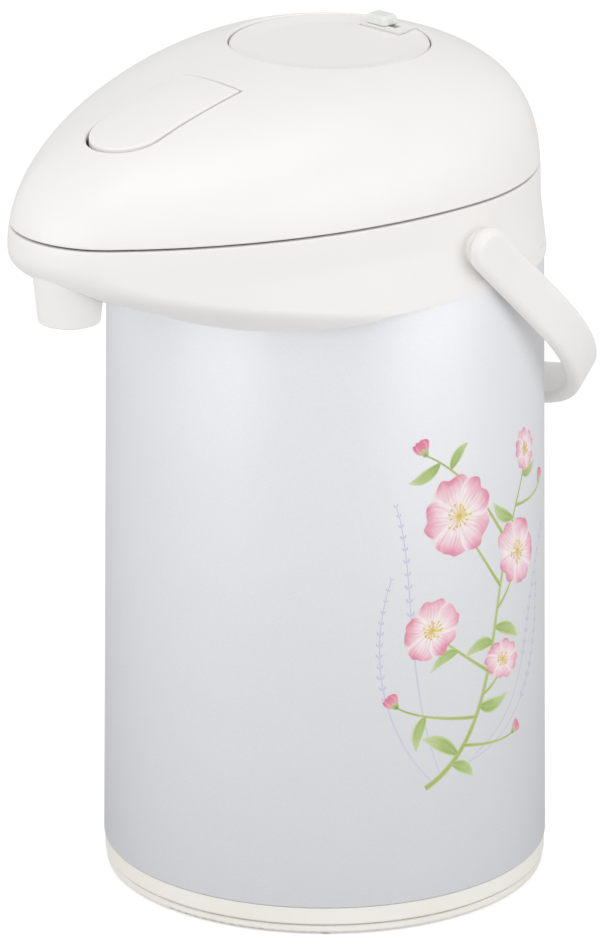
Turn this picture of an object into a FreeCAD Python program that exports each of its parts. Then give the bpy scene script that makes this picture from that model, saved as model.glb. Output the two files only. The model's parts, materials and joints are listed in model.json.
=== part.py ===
import FreeCAD, Part
import math
import os

# Pump pot for hot drinks, in millimetres. +Z is up and the spout points along -Y.
# The origin is on the body's axis, at the height of the floor it stands on.

V = FreeCAD.Vector

# Overall form, from the floor up
shell_height = 233.0
shell_bottom_radius = 83.4
shell_top_radius = 80.8
shell_wall = 0.8
collar_overlap = 2.5
collar_overhang = 0.9
chin_dip = 9.0
brow_rise = 29.5
brow_height = 12.8
chin_top_drop = 6.8
brow_set_in = 1.5
nose_length = 66.2
lid_height = 47.7
edge_level_y = -43.0
edge_bend_radius = 30.0
plastic_wall = 2.5
edge_round = 0.6
rim_round = 0.8
fit_gap = 0.3
close_gap = 0.1
running_gap = 0.06
cut_past = 1.0
cut_far = 5.0
join_bite = 0.5

# Curvature of the head: exponents of its side, nose and chin outlines
side_width_power = 2.5
side_rise_power = 3.2
nose_reach_power = 1.5
nose_rise_power = 3.0
chin_round_power = 2.0
chin_throat_power = 0.7
tip_share = 0.45
flattest_share = 0.962

# Base and swivel
foot_bottom_z = 0.0
foot_radius = 6.0
foot_count = 4
foot_proud = 0.5
foot_sink = 1.2
turntable_set_in = 0.6
turntable_rim_height = 3.2
turntable_rim_width = 15.4
turntable_plate = 2.0
turntable_plate_gap = 1.2
swivel_gap = 0.4
cover_band_set_in = 0.4
cover_band_height = 6.9
cover_band_width = 5.0
cover_floor = 2.5
cover_spigot_height = 7.0
glide_radius = 62.0
glide_width = 2.5
hub_radius = 12.0
retainer_radius = 20.0
retainer_thickness = 1.6

# Vacuum bottle
cushion_thickness = 6.6
cushion_inner_radius = 30.0
cushion_lip_height = 12.0
cushion_lip_thickness = 2.6
bottle_room = 8.0
bottle_wall = 1.2
vacuum_gap = 4.8
shoulder_height = 34.0
neck_height = 14.0
lip_drop = 6.0
lip_flange = 1.2
neck_radius = 38.0
bottle_foot_round = 14.0
bottle_shoulder_round = 18.0
neck_round = 7.0
neck_bend_drop = 2.0
gasket_height = 3.0
lid_gasket_inner_room = 0.2
lid_gasket_overlap = 1.0

# Fill mouth
deck_drop = 3.3
deck_thickness = 2.0
ring_wall = 4.4
ring_flange_thickness = 1.5
ring_flange_width = 10.5
ring_screw_offset = 6.5
ring_screw_count = 4
shell_seat_width = 4.5

# Water way
pipe_radius = 4.0
pipe_bore = 3.0
pipe_bend_radius = 7.0
pipe_drop = 6.3
dip_tube_inset = 7.1
dip_tube_lift = 14.0
socket_drop = 15.2
socket_length = 8.0
socket_wall = 1.2
seal_width = 2.0
valve_set_back = 33.0
valve_radius = 8.2
valve_wall = 2.0
valve_roof = 1.2
valve_bore_bite = 0.2
ball_radius = 3.6
ball_travel = 5.0
ball_headroom = 1.0
spout_set_in = 17.0
spout_drop = 32.8
spout_taper_height = 15.5
spout_bottom_radius = 11.3
spout_top_radius = 12.9
spout_wall = 2.0
spout_rim_gap = 0.2
spout_tube_wall = 1.8
spout_tube_recess = 4.0
spout_tube_overlap = 8.0

# Lid and its hinge
seam_gap = 0.8
lid_plate_lift = 2.8
lid_plate_thickness = 2.0
hinge_lift = 2.8
hinge_stand_off = 1.2
hinge_pin_radius = 1.5
knuckle_radius = 4.0
knuckle_room = 0.6
knuckle_half_length = 12.6
ear_length = 8.0
ear_room = 1.0
ear_web_front = 2.0
ear_web_depth = 10.0
lid_boss_rear_x = 52.0
lid_boss_rear_y = 32.0
lid_boss_front_x = 40.0
lid_boss_front_y = -82.0
boss_radius = 4.0
screw_radius = 1.5
screw_head_radius = 2.7
screw_head_height = 1.6
screw_length = 7.0

# Pump
button_radius = 36.9
button_gap = 0.5
button_y = 2.0
button_drop = 3.6
button_skirt = 10.0
button_wall = 2.2
button_cap = 3.0
button_dish = 1.0
button_rim_width = 8.0
button_rim_round = 1.2
button_dish_round = 20.0
button_boss_radius = 12.0
guide_wall = 2.2
guide_short = 2.1
pump_travel = 20.0
seat_overlap = 2.3
seat_thickness = 2.5
plug_gap = 2.0
plug_wall = 3.0
plug_reach = 0.6
bellows_set_in = 2.9
bellows_room = 1.5
bellows_fold = 6.0
bellows_wall = 1.0
bellows_folds = 5
plunger_lift = 0.4
plunger_thickness = 2.2
plunger_set_in = 1.0
air_hole_radius = 1.8
air_hole_count = 4
seat_hole_circle = 5.5
plunger_hole_circle = 18.0
flap_radius = 9.0
flap_stem_radius = 1.4
flap_thickness = 1.1
flap_stem_proud = 1.0
intake_outer_radius = 21.0
intake_inner_radius = 15.0
spring_radius = 14.0
spring_wire = 0.9
spring_turns = 7

# Lock slide behind the button
lock_set_in = 6.4
lock_bridge_half_width = 10.0
lock_bridge_reach = 3.9
lock_bridge_thickness = 2.6
lock_travel = 6.0
lock_tab_length = 10.0
lock_tab_depth = 7.5
lock_tab_height = 3.4
lock_tab_round = 1.6
lock_stem_length = 5.0
lock_stem_depth = 2.6
lock_foot_half_length = 6.0
lock_foot_half_depth = 3.2
lock_foot_thickness = 1.6
lock_room = 0.6

# Lid release lever
lever_width = 30.0
lever_tip_set_in = 33.0
lever_length = 55.0
lever_proud = 0.4
lever_round = 0.7
lever_gap = 0.7
lever_tip_gap = 1.3
lever_tail_gap = 1.1
lever_axis_set_in = 5.0
lever_axis_depth = 7.5
lever_pin_radius = 1.5
lever_knuckle_radius = 3.2
lever_ear_thickness = 3.0
lever_ear_reach = 4.0
lever_ear_gap = 0.6
hook_slot_front = 10.0
hook_thickness = 3.0
hook_depth = 2.0
hook_half_width = 11.0
hook_slot_half_width = 6.0
hook_bite = 1.5
latch_set_back = 4.0
latch_ledge_drop = 3.0
latch_top_drop = 1.0
lever_spring_reach = 9.0
lever_spring_radius = 3.2
lever_spring_wire = 0.5
lever_spring_height = 12.0
lever_spring_turns = 6
lever_spring_land = 1.3
lever_tail_half_width = 4.0
lever_tail_reach = 4.5
lever_tail_thickness = 2.4
lever_web_half = 1.5
lever_knuckle_overhang = 2.0
hook_bridge_height = 8.0
hook_room = 1.0

# Carrying handle
pivot_y = -1.8
pivot_drop = 3.4
handle_side_gap = 2.7
handle_thickness = 6.0
handle_width = 17.0
handle_flat_half = 3.4
handle_edge_radius = 2.9
handle_rest_angle = 43.8
stub_radius = 5.0
stub_inset = 2.0
pivot_boss_radius = 6.6
washer_radius = 8.0
washer_thickness = 1.5

# Heights and radii that follow
turntable_bottom_z = foot_bottom_z + foot_proud
turntable_rim_z = turntable_bottom_z + turntable_rim_height
cover_band_bottom_z = turntable_rim_z + swivel_gap
shell_bottom_z = cover_band_bottom_z + cover_band_height
shell_top_z = shell_bottom_z + shell_height
collar_edge_z = shell_top_z - collar_overlap
chin_edge_z = collar_edge_z - chin_dip
brow_z = chin_edge_z + brow_rise
seam_z = brow_z + brow_height
chin_top_z = seam_z - chin_top_drop
lid_top_z = seam_z + lid_height
collar_radius = shell_top_radius + collar_overhang
brow_half_width = shell_top_radius - brow_set_in
nose_reach = shell_top_radius + nose_length
cover_band_radius = shell_bottom_radius - cover_band_set_in
turntable_radius = cover_band_radius - turntable_set_in
bottle_outer_radius = min(shell_top_radius, shell_bottom_radius) - shell_wall - bottle_room
lip_z = shell_top_z - lip_drop
neck_z = lip_z - neck_height
shoulder_z = neck_z - shoulder_height
mouth_radius = neck_radius - ring_wall
deck_top_z = seam_z - deck_drop
pipe_run_z = deck_top_z - pipe_drop
dip_tube_y = dip_tube_inset - mouth_radius
dip_tube_top_z = pipe_run_z - socket_drop
spout_y = spout_set_in - nose_reach
spout_bottom_z = seam_z - spout_drop
spout_rim_z = pipe_run_z - pipe_radius - spout_rim_gap
spout_tube_bottom_z = spout_bottom_z + spout_tube_recess
valve_y = spout_y + valve_set_back
valve_top_z = deck_top_z - deck_thickness - fit_gap
valve_chamber = 2 * ball_radius + ball_travel + ball_headroom + fit_gap
valve_bottom_z = valve_top_z - valve_roof - valve_chamber - valve_wall
lid_plate_z = seam_z + lid_plate_lift
hinge_y = brow_half_width + hinge_stand_off
hinge_z = seam_z + hinge_lift
button_top_z = lid_top_z - button_drop
guide_bottom_z = button_top_z - button_skirt - pump_travel + guide_short
seat_radius = neck_radius + seat_overlap
bellows_radius = button_radius - bellows_set_in
lock_y = button_y + button_radius - lock_set_in
lock_bridge_front_y = lock_y - lock_bridge_reach
lock_rest_x = -lock_travel / 2
lever_tip_y = lever_tip_set_in - nose_reach
lever_tail_y = lever_tip_y + lever_length
lever_axis_y = lever_tail_y - lever_axis_set_in
lever_spring_y = lever_tail_y + lever_spring_reach
pivot_z = brow_z - pivot_drop
handle_inner_x = brow_half_width + handle_side_gap
handle_outer_half_width = handle_inner_x + handle_thickness
handle_corner_radius = handle_inner_x + handle_thickness / 2 - handle_flat_half


# Plain solids

def cylinder(radius, z_low, z_high, x=0.0, y=0.0):
    return Part.makeCylinder(radius, z_high - z_low, V(x, y, z_low))


def tube(outer, inner, z_low, z_high, x=0.0, y=0.0):
    return cylinder(outer, z_low, z_high, x, y).cut(cylinder(inner, z_low, z_high, x, y))


def cross_cylinder(radius, x_low, x_high, y, z):
    return Part.makeCylinder(radius, x_high - x_low, V(x_low, y, z), V(1, 0, 0))


def block(x_low, x_high, y_low, y_high, z_low, z_high):
    return Part.makeBox(x_high - x_low, y_high - y_low, z_high - z_low, V(x_low, y_low, z_low))


def joined(shapes):
    result = shapes[0]
    for shape in shapes[1:]:
        result = result.fuse(shape)
    return result.removeSplitter()


def turned(corners, y=0.0):
    # Solid of revolution about the vertical axis; each corner is (radius, height, rounding)
    edges = rounded_edges([V(r, 0, z) for r, z, rounding in corners], [c[2] for c in corners])
    face = Part.Face(Part.Wire(edges))
    solid = face.revolve(V(0, 0, 0), V(0, 0, 1), 360)
    solid.translate(V(0, y, 0))
    return solid


def rounded_edges(points, roundings):
    # Edges of a closed outline whose corners are rounded by tangent arcs
    starts = []
    ends = []
    middles = []
    count = len(points)
    for i in range(count):
        corner = points[i]
        back = (points[i - 1] - corner).normalize()
        ahead = (points[(i + 1) % count] - corner).normalize()
        half_angle = math.acos(max(-1.0, min(1.0, back.dot(ahead)))) / 2
        if roundings[i] == 0:
            starts.append(corner)
            ends.append(corner)
            middles.append(None)
            continue
        setback = roundings[i] / math.tan(half_angle)
        inward = (back + ahead).normalize()
        to_arc = roundings[i] / math.sin(half_angle) - roundings[i]
        starts.append(corner + back * setback)
        ends.append(corner + ahead * setback)
        middles.append(corner + inward * to_arc)
    edges = []
    for i in range(count):
        if middles[i] is not None:
            edges.append(Part.Arc(starts[i], middles[i], ends[i]).toShape())
        following = starts[(i + 1) % count]
        if ends[i].distanceToPoint(following) > 1e-6:
            edges.append(Part.makeLine(ends[i], following))
    return edges


def pressed(corners, x_low, x_high):
    # Prism along X; each corner is (y, z, rounding)
    edges = rounded_edges([V(x_low, y, z) for y, z, rounding in corners], [c[2] for c in corners])
    return Part.Face(Part.Wire(edges)).extrude(V(x_high - x_low, 0, 0))


def edges_along(shape, tool, above):
    # Edges that a cut or a common with this tool left on the shape, above a height
    chosen = []
    for edge in shape.Edges:
        middle = edge.valueAt((edge.FirstParameter + edge.LastParameter) / 2)
        if edge.BoundBox.ZMin > above and tool.distToShape(Part.Vertex(middle))[0] < 1e-4:
            chosen.append(edge)
    return chosen


def edges_level(shape, z):
    # Edges that lie flat at a height
    return [edge for edge in shape.Edges if edge.BoundBox.ZMin > z - 0.01 and edge.BoundBox.ZMax < z + 0.01]


def coil(radius, wire, z_low, z_high, turns, x, y):
    # Compression spring between two heights, its wire's section carried along a helix
    rise = z_high - z_low - 2 * wire
    path = Part.makeHelix(rise / turns, rise, radius)
    section = Part.Wire(Part.makeCircle(wire, V(radius, 0, 0), V(0, 1, 0)))
    spring = Part.Wire(path).makePipeShell([section], True, True)
    spring.translate(V(x, y, z_low + wire))
    return spring


def screw(x, y, seat_z, direction):
    # Pan-head screw whose head lies on the seat; direction is +1 or -1, the way the head stands out
    head = Part.makeCylinder(screw_head_radius, screw_head_height, V(x, y, seat_z), V(0, 0, direction))
    shank = Part.makeCylinder(screw_radius, screw_length, V(x, y, seat_z), V(0, 0, -direction))
    return head.fuse(shank)


def screw_hole(x, y, seat_z, direction):
    return Part.makeCylinder(screw_radius, screw_length + fit_gap, V(x, y, seat_z), V(0, 0, -direction))


# Form of the head: lid, collar and nose share it

lid_rise = lid_top_z - brow_z


def half_width(z):
    # Half width of the head at a height, which is also the radius of its round back
    if z >= brow_z:
        u = (z - brow_z) / lid_rise
        return brow_half_width * (1 - u**side_rise_power) ** (1 / side_width_power)
    share = min(1.0, (brow_z - z) / (brow_z - collar_edge_z))
    return brow_half_width + (collar_radius - brow_half_width) * share


def nose_line(z):
    # How far the nose would come forward at a height if it had no chin
    if z < brow_z:
        return nose_reach
    u = (z - brow_z) / lid_rise
    return nose_reach * (1 - u**nose_rise_power) ** (1 / nose_reach_power)


def reach(z):
    # How far the head comes forward of the body's axis at a height; the chin turns in below its top
    if z >= chin_top_z:
        return nose_line(z)
    depth = (chin_top_z - z) / (chin_top_z - chin_edge_z)
    left = max(0.0, 1 - depth**chin_round_power) ** (1 / chin_throat_power)
    throat = collar_radius + fit_gap
    return throat + (nose_line(z) - throat) * left


def tip_radius(z):
    # The nose sharpens with the lid; where the chin turns in, the cheeks keep their curve
    wide = half_width(z)
    long = nose_line(z)
    tip = tip_share * wide
    if z >= chin_top_z:
        return tip
    cheek = (wide**2 - tip**2 + (long - tip) ** 2) / (2 * (wide - tip))
    short = reach(z)
    return (2 * cheek * wide - wide**2 - short**2) / (2 * (cheek - short))


def ridge_height(y):
    # Height of the lid's centre line at a distance in front of the axis
    return brow_z + lid_rise * (1 - (abs(y) / nose_reach) ** nose_reach_power) ** (1 / nose_rise_power)


def egg_wire(z, wide, long, tip):
    # Half circle behind, a cheek arc on each side and a tip arc in front, all tangent
    centre = long - tip
    cheek = (wide**2 - tip**2 + centre**2) / (2 * (wide - tip))
    turn = math.atan2(centre, cheek - wide)

    def on_cheek(side, angle):
        return V(side * (wide - cheek + cheek * math.cos(angle)), -cheek * math.sin(angle), z)

    right = V(wide, 0, z)
    left = V(-wide, 0, z)
    edges = [
        Part.Arc(right, V(0, wide, z), left).toShape(),
        Part.Arc(left, on_cheek(-1, turn / 2), on_cheek(-1, turn)).toShape(),
        Part.Arc(on_cheek(-1, turn), V(0, -long, z), on_cheek(1, turn)).toShape(),
        Part.Arc(on_cheek(1, turn), on_cheek(1, turn / 2), right).toShape(),
    ]
    return Part.Wire(edges)


def head_loft(levels, inset, drop):
    # Solid through the head's outlines at these heights, drawn in by inset and lowered by drop
    wires = []
    for z in levels:
        wires.append(egg_wire(z - drop, half_width(z) - inset, reach(z) - inset, tip_radius(z) - inset))
    return Part.makeLoft(wires, True, False)


def spaced(low, high, count):
    return [low + (high - low) * i / (count - 1) for i in range(count)]


# Height levels of the lid, closer together where it turns in
lid_shares = [0.38, 0.5, 0.62, 0.73, 0.82, 0.89, 0.935, flattest_share]


def lid_levels(start):
    return [start] + [brow_z + lid_rise * share for share in lid_shares]


chin_shares = [0.0, 0.12, 0.24, 0.36, 0.48, 0.6, 0.7, 0.8, 0.88, 0.95]
chin_levels = [chin_edge_z + (chin_top_z - chin_edge_z) * share for share in chin_shares]


def under_block(top_z, inset, drop):
    # Lower part of the head, from the chin's edge up to a level above the chin's top
    return head_loft(chin_levels + spaced(chin_top_z, top_z, 4), inset, drop)


# Body

def shell_radius(z):
    share = (z - shell_bottom_z) / (shell_top_z - shell_bottom_z)
    return shell_bottom_radius + (shell_top_radius - shell_bottom_radius) * share


def outer_shell():
    outer = Part.makeCone(
        shell_bottom_radius, shell_top_radius, shell_top_z - shell_bottom_z, V(0, 0, shell_bottom_z)
    )
    inner = Part.makeCone(
        shell_bottom_radius - shell_wall,
        shell_top_radius - shell_wall,
        shell_top_z - shell_bottom_z,
        V(0, 0, shell_bottom_z),
    )
    return outer.cut(inner)


cover_floor_z = shell_bottom_z - close_gap
cover_floor_top_z = cover_floor_z + cover_floor
hub_bottom_z = turntable_rim_z - fit_gap


def bottom_cover():
    band = turned(
        [
            (cover_band_radius - cover_band_width, cover_band_bottom_z, 0),
            (cover_band_radius, cover_band_bottom_z, 1.0),
            (cover_band_radius, cover_floor_z, 0),
            (cover_band_radius - cover_band_width, cover_floor_z, 0),
        ]
    )
    spigot_radius = shell_bottom_radius - shell_wall - 2 * close_gap
    floor = cylinder(spigot_radius, cover_floor_z, cover_floor_top_z)
    spigot = tube(
        spigot_radius,
        spigot_radius - cover_floor,
        cover_floor_z,
        cover_floor_z + cover_spigot_height,
    )
    hub = cylinder(hub_radius, hub_bottom_z, cover_floor_z)
    glide_low = turntable_rim_z + turntable_plate + fit_gap
    glide = tube(glide_radius, glide_radius - glide_width, glide_low, cover_floor_z)
    cover = joined([band, floor, spigot, hub, glide])
    return cover.cut(screw_hole(0, 0, retainer_low_z, -1))


def turntable():
    rim_inner = turntable_radius - turntable_rim_width
    plate_top = turntable_rim_z + turntable_plate
    plate_radius = cover_band_radius - cover_band_width - turntable_plate_gap
    rim = turned(
        [
            (rim_inner, turntable_bottom_z, 0),
            (turntable_radius, turntable_bottom_z, 1.2),
            (turntable_radius, turntable_rim_z, 0.6),
            (rim_inner, turntable_rim_z, 0),
        ]
    )
    plate = tube(plate_radius, hub_radius + running_gap, turntable_rim_z, plate_top)
    base = joined([rim, plate])
    for foot in foot_places():
        pocket = cylinder(
            foot_radius + close_gap, turntable_bottom_z, turntable_bottom_z + foot_sink, foot.x, foot.y
        )
        base = base.cut(pocket)
    return base


def foot_places():
    circle = turntable_radius - turntable_rim_width / 2
    places = []
    for i in range(foot_count):
        angle = math.radians(45 + 360 * i / foot_count)
        places.append(V(circle * math.cos(angle), circle * math.sin(angle), 0))
    return places


def rubber_feet():
    feet = []
    for foot in foot_places():
        feet.append(cylinder(foot_radius, foot_bottom_z, turntable_bottom_z + foot_sink, foot.x, foot.y))
    return Part.makeCompound(feet)


retainer_top_z = turntable_rim_z - fit_gap
retainer_low_z = retainer_top_z - retainer_thickness


def swivel_retainer():
    disc = cylinder(retainer_radius, retainer_low_z, retainer_top_z)
    return disc.cut(screw_hole(0, 0, retainer_low_z, -1))


def retainer_screw():
    return screw(0, 0, retainer_low_z, -1)


# Vacuum bottle: two pressed walls that meet at the lip

bottle_bottom_z = cover_floor_top_z + cushion_thickness
dip_tube_bottom_z = bottle_bottom_z + dip_tube_lift
ring_screw_circle = neck_radius + ring_screw_offset
ring_flange_radius = neck_radius + ring_flange_width

def bottle_corners(inset, neck, top_z):
    # Outline from the axis out and up to the lip, drawn in by inset
    side = bottle_outer_radius - inset
    return [
        (0, bottle_bottom_z + inset, 0),
        (side, bottle_bottom_z + inset, bottle_foot_round),
        (side, shoulder_z, bottle_shoulder_round),
        (neck, neck_z - neck_bend_drop, neck_round),
        (neck, top_z, 0),
        (0, top_z, 0),
    ]


def bottle_shell(inset, neck, top_z):
    outside = turned(bottle_corners(inset, neck, top_z))
    inside = turned(bottle_corners(inset + bottle_wall, neck - bottle_wall, top_z + cut_past))
    return outside.cut(inside)


inner_neck_radius = mouth_radius + bottle_wall


def bottle_outer_wall():
    return bottle_shell(0.0, neck_radius, lip_z - lip_flange)


def bottle_inner_wall():
    wall = bottle_shell(bottle_wall + vacuum_gap, inner_neck_radius, lip_z)
    flange = tube(neck_radius, inner_neck_radius - bottle_wall / 2, lip_z - lip_flange, lip_z)
    return wall.fuse(flange)


def bottle_cushion():
    outer = bottle_outer_radius + fit_gap + cushion_lip_thickness
    base = tube(outer, cushion_inner_radius, cover_floor_top_z, bottle_bottom_z)
    lip = tube(outer, bottle_outer_radius + fit_gap, bottle_bottom_z, bottle_bottom_z + cushion_lip_height)
    return joined([base, lip])


def neck_gasket():
    return tube(neck_radius, mouth_radius, lip_z, lip_z + gasket_height)


ring_bottom_z = lip_z + gasket_height
ring_top_z = deck_top_z + ring_flange_thickness
seal_hole_radius = pipe_radius + seal_width


def ring_screw_places():
    places = []
    for i in range(ring_screw_count):
        angle = math.radians(45 + 360 * i / ring_screw_count)
        places.append(V(ring_screw_circle * math.cos(angle), ring_screw_circle * math.sin(angle), 0))
    return places


def mouth_ring():
    wall = tube(neck_radius, mouth_radius, ring_bottom_z, ring_top_z)
    flange = tube(ring_flange_radius, mouth_radius, deck_top_z, ring_top_z)
    ring = joined([wall, flange])
    ring = ring.cut(pipe_passage(seal_hole_radius))
    for place in ring_screw_places():
        ring = ring.cut(screw_hole(place.x, place.y, ring_top_z, 1))
    return ring


def pipe_passage(radius):
    # Bore through the front wall of the mouth ring, along the pipe's run
    length = neck_radius + 2.0
    return Part.makeCylinder(radius, length, V(0, 0, pipe_run_z), V(0, -1, 0))


def mouth_ring_screws():
    return Part.makeCompound([screw(place.x, place.y, ring_top_z, 1) for place in ring_screw_places()])


# Water way

def dip_tube():
    return tube(pipe_radius, pipe_bore, dip_tube_bottom_z, dip_tube_top_z, 0, dip_tube_y)


def swept_pipe(points, radius):
    # Round bar along straight runs joined by one tangent bend
    start, corner, end = points
    back = (start - corner).normalize()
    ahead = (end - corner).normalize()
    bend_start = corner + back * pipe_bend_radius
    bend_end = corner + ahead * pipe_bend_radius
    centre = bend_start + ahead * pipe_bend_radius
    middle = centre + (corner - centre).normalize() * pipe_bend_radius
    path = Part.Wire(
        [
            Part.makeLine(start, bend_start),
            Part.Arc(bend_start, middle, bend_end).toShape(),
            Part.makeLine(bend_end, end),
        ]
    )
    section = Part.Wire(Part.makeCircle(radius, start, corner - start))
    return path.makePipeShell([section], True, False)


def bent_pipe(points):
    return swept_pipe(points, pipe_radius).cut(swept_pipe(points, pipe_bore))


valve_rear_y = valve_y + valve_radius - valve_wall + valve_bore_bite
valve_front_y = valve_y - valve_radius + valve_wall - valve_bore_bite


def delivery_pipe():
    start = V(0, dip_tube_y, dip_tube_top_z)
    corner = V(0, dip_tube_y, pipe_run_z)
    end = V(0, valve_rear_y, pipe_run_z)
    socket = cylinder(
        pipe_radius + socket_wall,
        dip_tube_top_z - socket_length,
        dip_tube_top_z + socket_wall,
        0,
        dip_tube_y,
    )
    entry = cylinder(pipe_radius, dip_tube_top_z - socket_length, dip_tube_top_z, 0, dip_tube_y)
    pipe = swept_pipe([start, corner, end], pipe_radius).fuse(socket)
    return pipe.cut(entry).cut(swept_pipe([start, corner, end], pipe_bore))


def pipe_seal():
    seal = pipe_passage(seal_hole_radius).cut(pipe_passage(pipe_radius))
    return seal.common(tube(neck_radius, mouth_radius, ring_bottom_z, ring_top_z))


ball_rest_z = valve_bottom_z + valve_wall + ball_radius + fit_gap


def tip_valve_housing():
    can = cylinder(valve_radius, valve_bottom_z, valve_top_z, 0, valve_y)
    chamber = cylinder(
        valve_radius - valve_wall, valve_bottom_z + valve_wall, valve_top_z - valve_roof, 0, valve_y
    )
    ports = Part.makeCylinder(
        pipe_radius, 2 * valve_radius, V(0, valve_y + valve_radius, pipe_run_z), V(0, -1, 0)
    )
    saddle = cylinder(valve_radius - valve_wall - valve_bore_bite, pipe_run_z, valve_top_z, 0, valve_y)
    return can.cut(chamber).cut(ports.cut(saddle))


def tip_valve_ball():
    return Part.makeSphere(ball_radius, V(0, valve_y, ball_rest_z))


def outlet_pipe():
    start = V(0, valve_front_y, pipe_run_z)
    corner = V(0, spout_y, pipe_run_z)
    end = V(0, spout_y, spout_tube_bottom_z + spout_tube_overlap)
    return bent_pipe([start, corner, end])


def spout_nozzle():
    straight_z = spout_bottom_z + spout_taper_height
    outside = turned(
        [
            (0, spout_bottom_z, 0),
            (spout_bottom_radius, spout_bottom_z, 0.8),
            (spout_top_radius, straight_z, 0),
            (spout_top_radius, spout_rim_z, 0),
            (0, spout_rim_z, 0),
        ],
        spout_y,
    )
    cap_top = pipe_run_z - pipe_bend_radius
    cap_low = cap_top - spout_wall
    rim_bore = spout_top_radius - spout_wall
    hollow = turned(
        [
            (0, spout_bottom_z - cut_past, 0),
            (spout_bottom_radius - spout_wall, spout_bottom_z - cut_past, 0),
            (rim_bore, cap_low, 0),
            (0, cap_low, 0),
        ],
        spout_y,
    )
    well = cylinder(rim_bore, cap_top, spout_rim_z + cut_past, 0, spout_y)
    core = cylinder(pipe_radius + spout_tube_wall, spout_tube_bottom_z, cap_top, 0, spout_y)
    bore = cylinder(pipe_radius, spout_tube_bottom_z - cut_past, spout_rim_z + cut_past, 0, spout_y)
    return outside.cut(hollow).cut(well).fuse(core).cut(bore)


# Collar with the lower half of the nose

collar_top_z = seam_z - seam_gap / 2
latch_ledge_z = lid_plate_z - latch_ledge_drop
latch_post_y = lever_axis_y + latch_set_back


def collar_edge_cutter():
    # Below the sides the collar ends level; in front its edge dips with the chin
    margin = collar_radius + cut_far
    return pressed(
        [
            (-collar_radius, chin_edge_z, 0),
            (edge_level_y, collar_edge_z, edge_bend_radius),
            (margin, collar_edge_z, 0),
            (margin, chin_edge_z - cut_far, 0),
            (-collar_radius, chin_edge_z - cut_far, 0),
        ],
        -margin,
        margin,
    )


def hinge_ears():
    ears = []
    low_x = knuckle_half_length + fit_gap
    for side in (-1, 1):
        x_low = min(side * low_x, side * (low_x + ear_length))
        x_high = x_low + ear_length
        barrel = cross_cylinder(knuckle_radius, x_low, x_high, hinge_y, hinge_z)
        web = block(x_low, x_high, hinge_y - ear_web_front, hinge_y + knuckle_radius, deck_top_z, hinge_z)
        foot = pressed(
            [
                (brow_half_width - plastic_wall, deck_top_z - ear_web_depth, 0),
                (hinge_y + knuckle_radius, deck_top_z, 0),
                (brow_half_width - 2 * plastic_wall, deck_top_z, 0),
            ],
            x_low,
            x_high,
        )
        ears.append(barrel.fuse(web).fuse(foot))
    return ears


def pivot_bosses():
    inner_x = brow_half_width - plastic_wall - stub_inset
    outer_x = handle_inner_x - fit_gap
    bosses = []
    for side in (-1, 1):
        x_low = min(side * inner_x, side * outer_x)
        bosses.append(cross_cylinder(pivot_boss_radius, x_low, x_low + outer_x - inner_x, pivot_y, pivot_z))
    return bosses


def latch_catches():
    catches = []
    for side in (-1, 1):
        x_low = min(side * hook_slot_half_width, side * hook_half_width)
        width = hook_half_width - hook_slot_half_width
        post = block(
            x_low,
            x_low + width,
            latch_post_y,
            latch_post_y + hook_thickness,
            deck_top_z - join_bite,
            latch_top_z,
        )
        ledge = block(
            x_low, x_low + width, latch_post_y - hook_thickness, latch_post_y, latch_ledge_z, latch_top_z
        )
        catches.append(post.fuse(ledge))
    return catches


latch_top_z = lid_plate_z - latch_top_drop


def collar_rim():
    # Top edge of the collar, drawn in along a quarter round
    rim = []
    steps = [0.0, 30.0, 60.0, 90.0]
    for lower, upper in zip(steps, steps[1:]):
        wires = []
        for angle in (math.radians(lower), math.radians(upper)):
            z = collar_top_z - edge_round * (1 - math.sin(angle))
            inset = edge_round * (1 - math.cos(angle))
            wires.append(egg_wire(z, half_width(z) - inset, reach(z) - inset, tip_radius(z) - inset))
        rim.append(Part.makeLoft(wires, True, True))
    return joined(rim)


def collar():
    hollow = under_block(collar_top_z + plastic_wall, plastic_wall, -plastic_wall)
    body = under_block(collar_top_z - edge_round, 0, 0).fuse(collar_rim())
    body = body.cut(hollow)
    deck_low = deck_top_z - deck_thickness
    slab = head_loft([deck_low, deck_top_z], plastic_wall / 2, 0)
    body = body.fuse(slab)
    socket_radius = shell_radius(collar_edge_z) + close_gap
    seat = tube(
        socket_radius + fit_gap,
        socket_radius - shell_seat_width,
        shell_top_z + close_gap,
        shell_top_z + plastic_wall,
    )
    body = body.fuse(seat)
    for piece in hinge_ears() + pivot_bosses() + latch_catches():
        body = body.fuse(piece)
    body = body.cut(collar_edge_cutter())
    body = body.cut(cylinder(socket_radius, chin_edge_z - cut_far, shell_top_z + close_gap))
    body = body.cut(cylinder(neck_radius + fit_gap, deck_low - cut_past, deck_top_z + cut_past))
    body = body.cut(cylinder(spout_top_radius + close_gap, spout_bottom_z, spout_rim_z, 0, spout_y))
    for place in ring_screw_places():
        body = body.cut(screw_hole(place.x, place.y, ring_top_z, 1))
    barrel_half = knuckle_half_length + fit_gap
    barrel_room = cross_cylinder(
        knuckle_radius + knuckle_room, -barrel_half, barrel_half, hinge_y, hinge_z
    )
    body = body.cut(barrel_room)
    pin_length = knuckle_half_length + fit_gap + ear_length
    body = body.cut(cross_cylinder(hinge_pin_radius, -pin_length, pin_length, hinge_y, hinge_z))
    bore_x = handle_outer_half_width
    body = body.cut(cross_cylinder(stub_radius + running_gap, -bore_x, bore_x, pivot_y, pivot_z))
    return body.removeSplitter()


def hinge_pin():
    pin_length = knuckle_half_length + fit_gap + ear_length
    return cross_cylinder(hinge_pin_radius, -pin_length, pin_length, hinge_y, hinge_z)


# Lid

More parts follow.
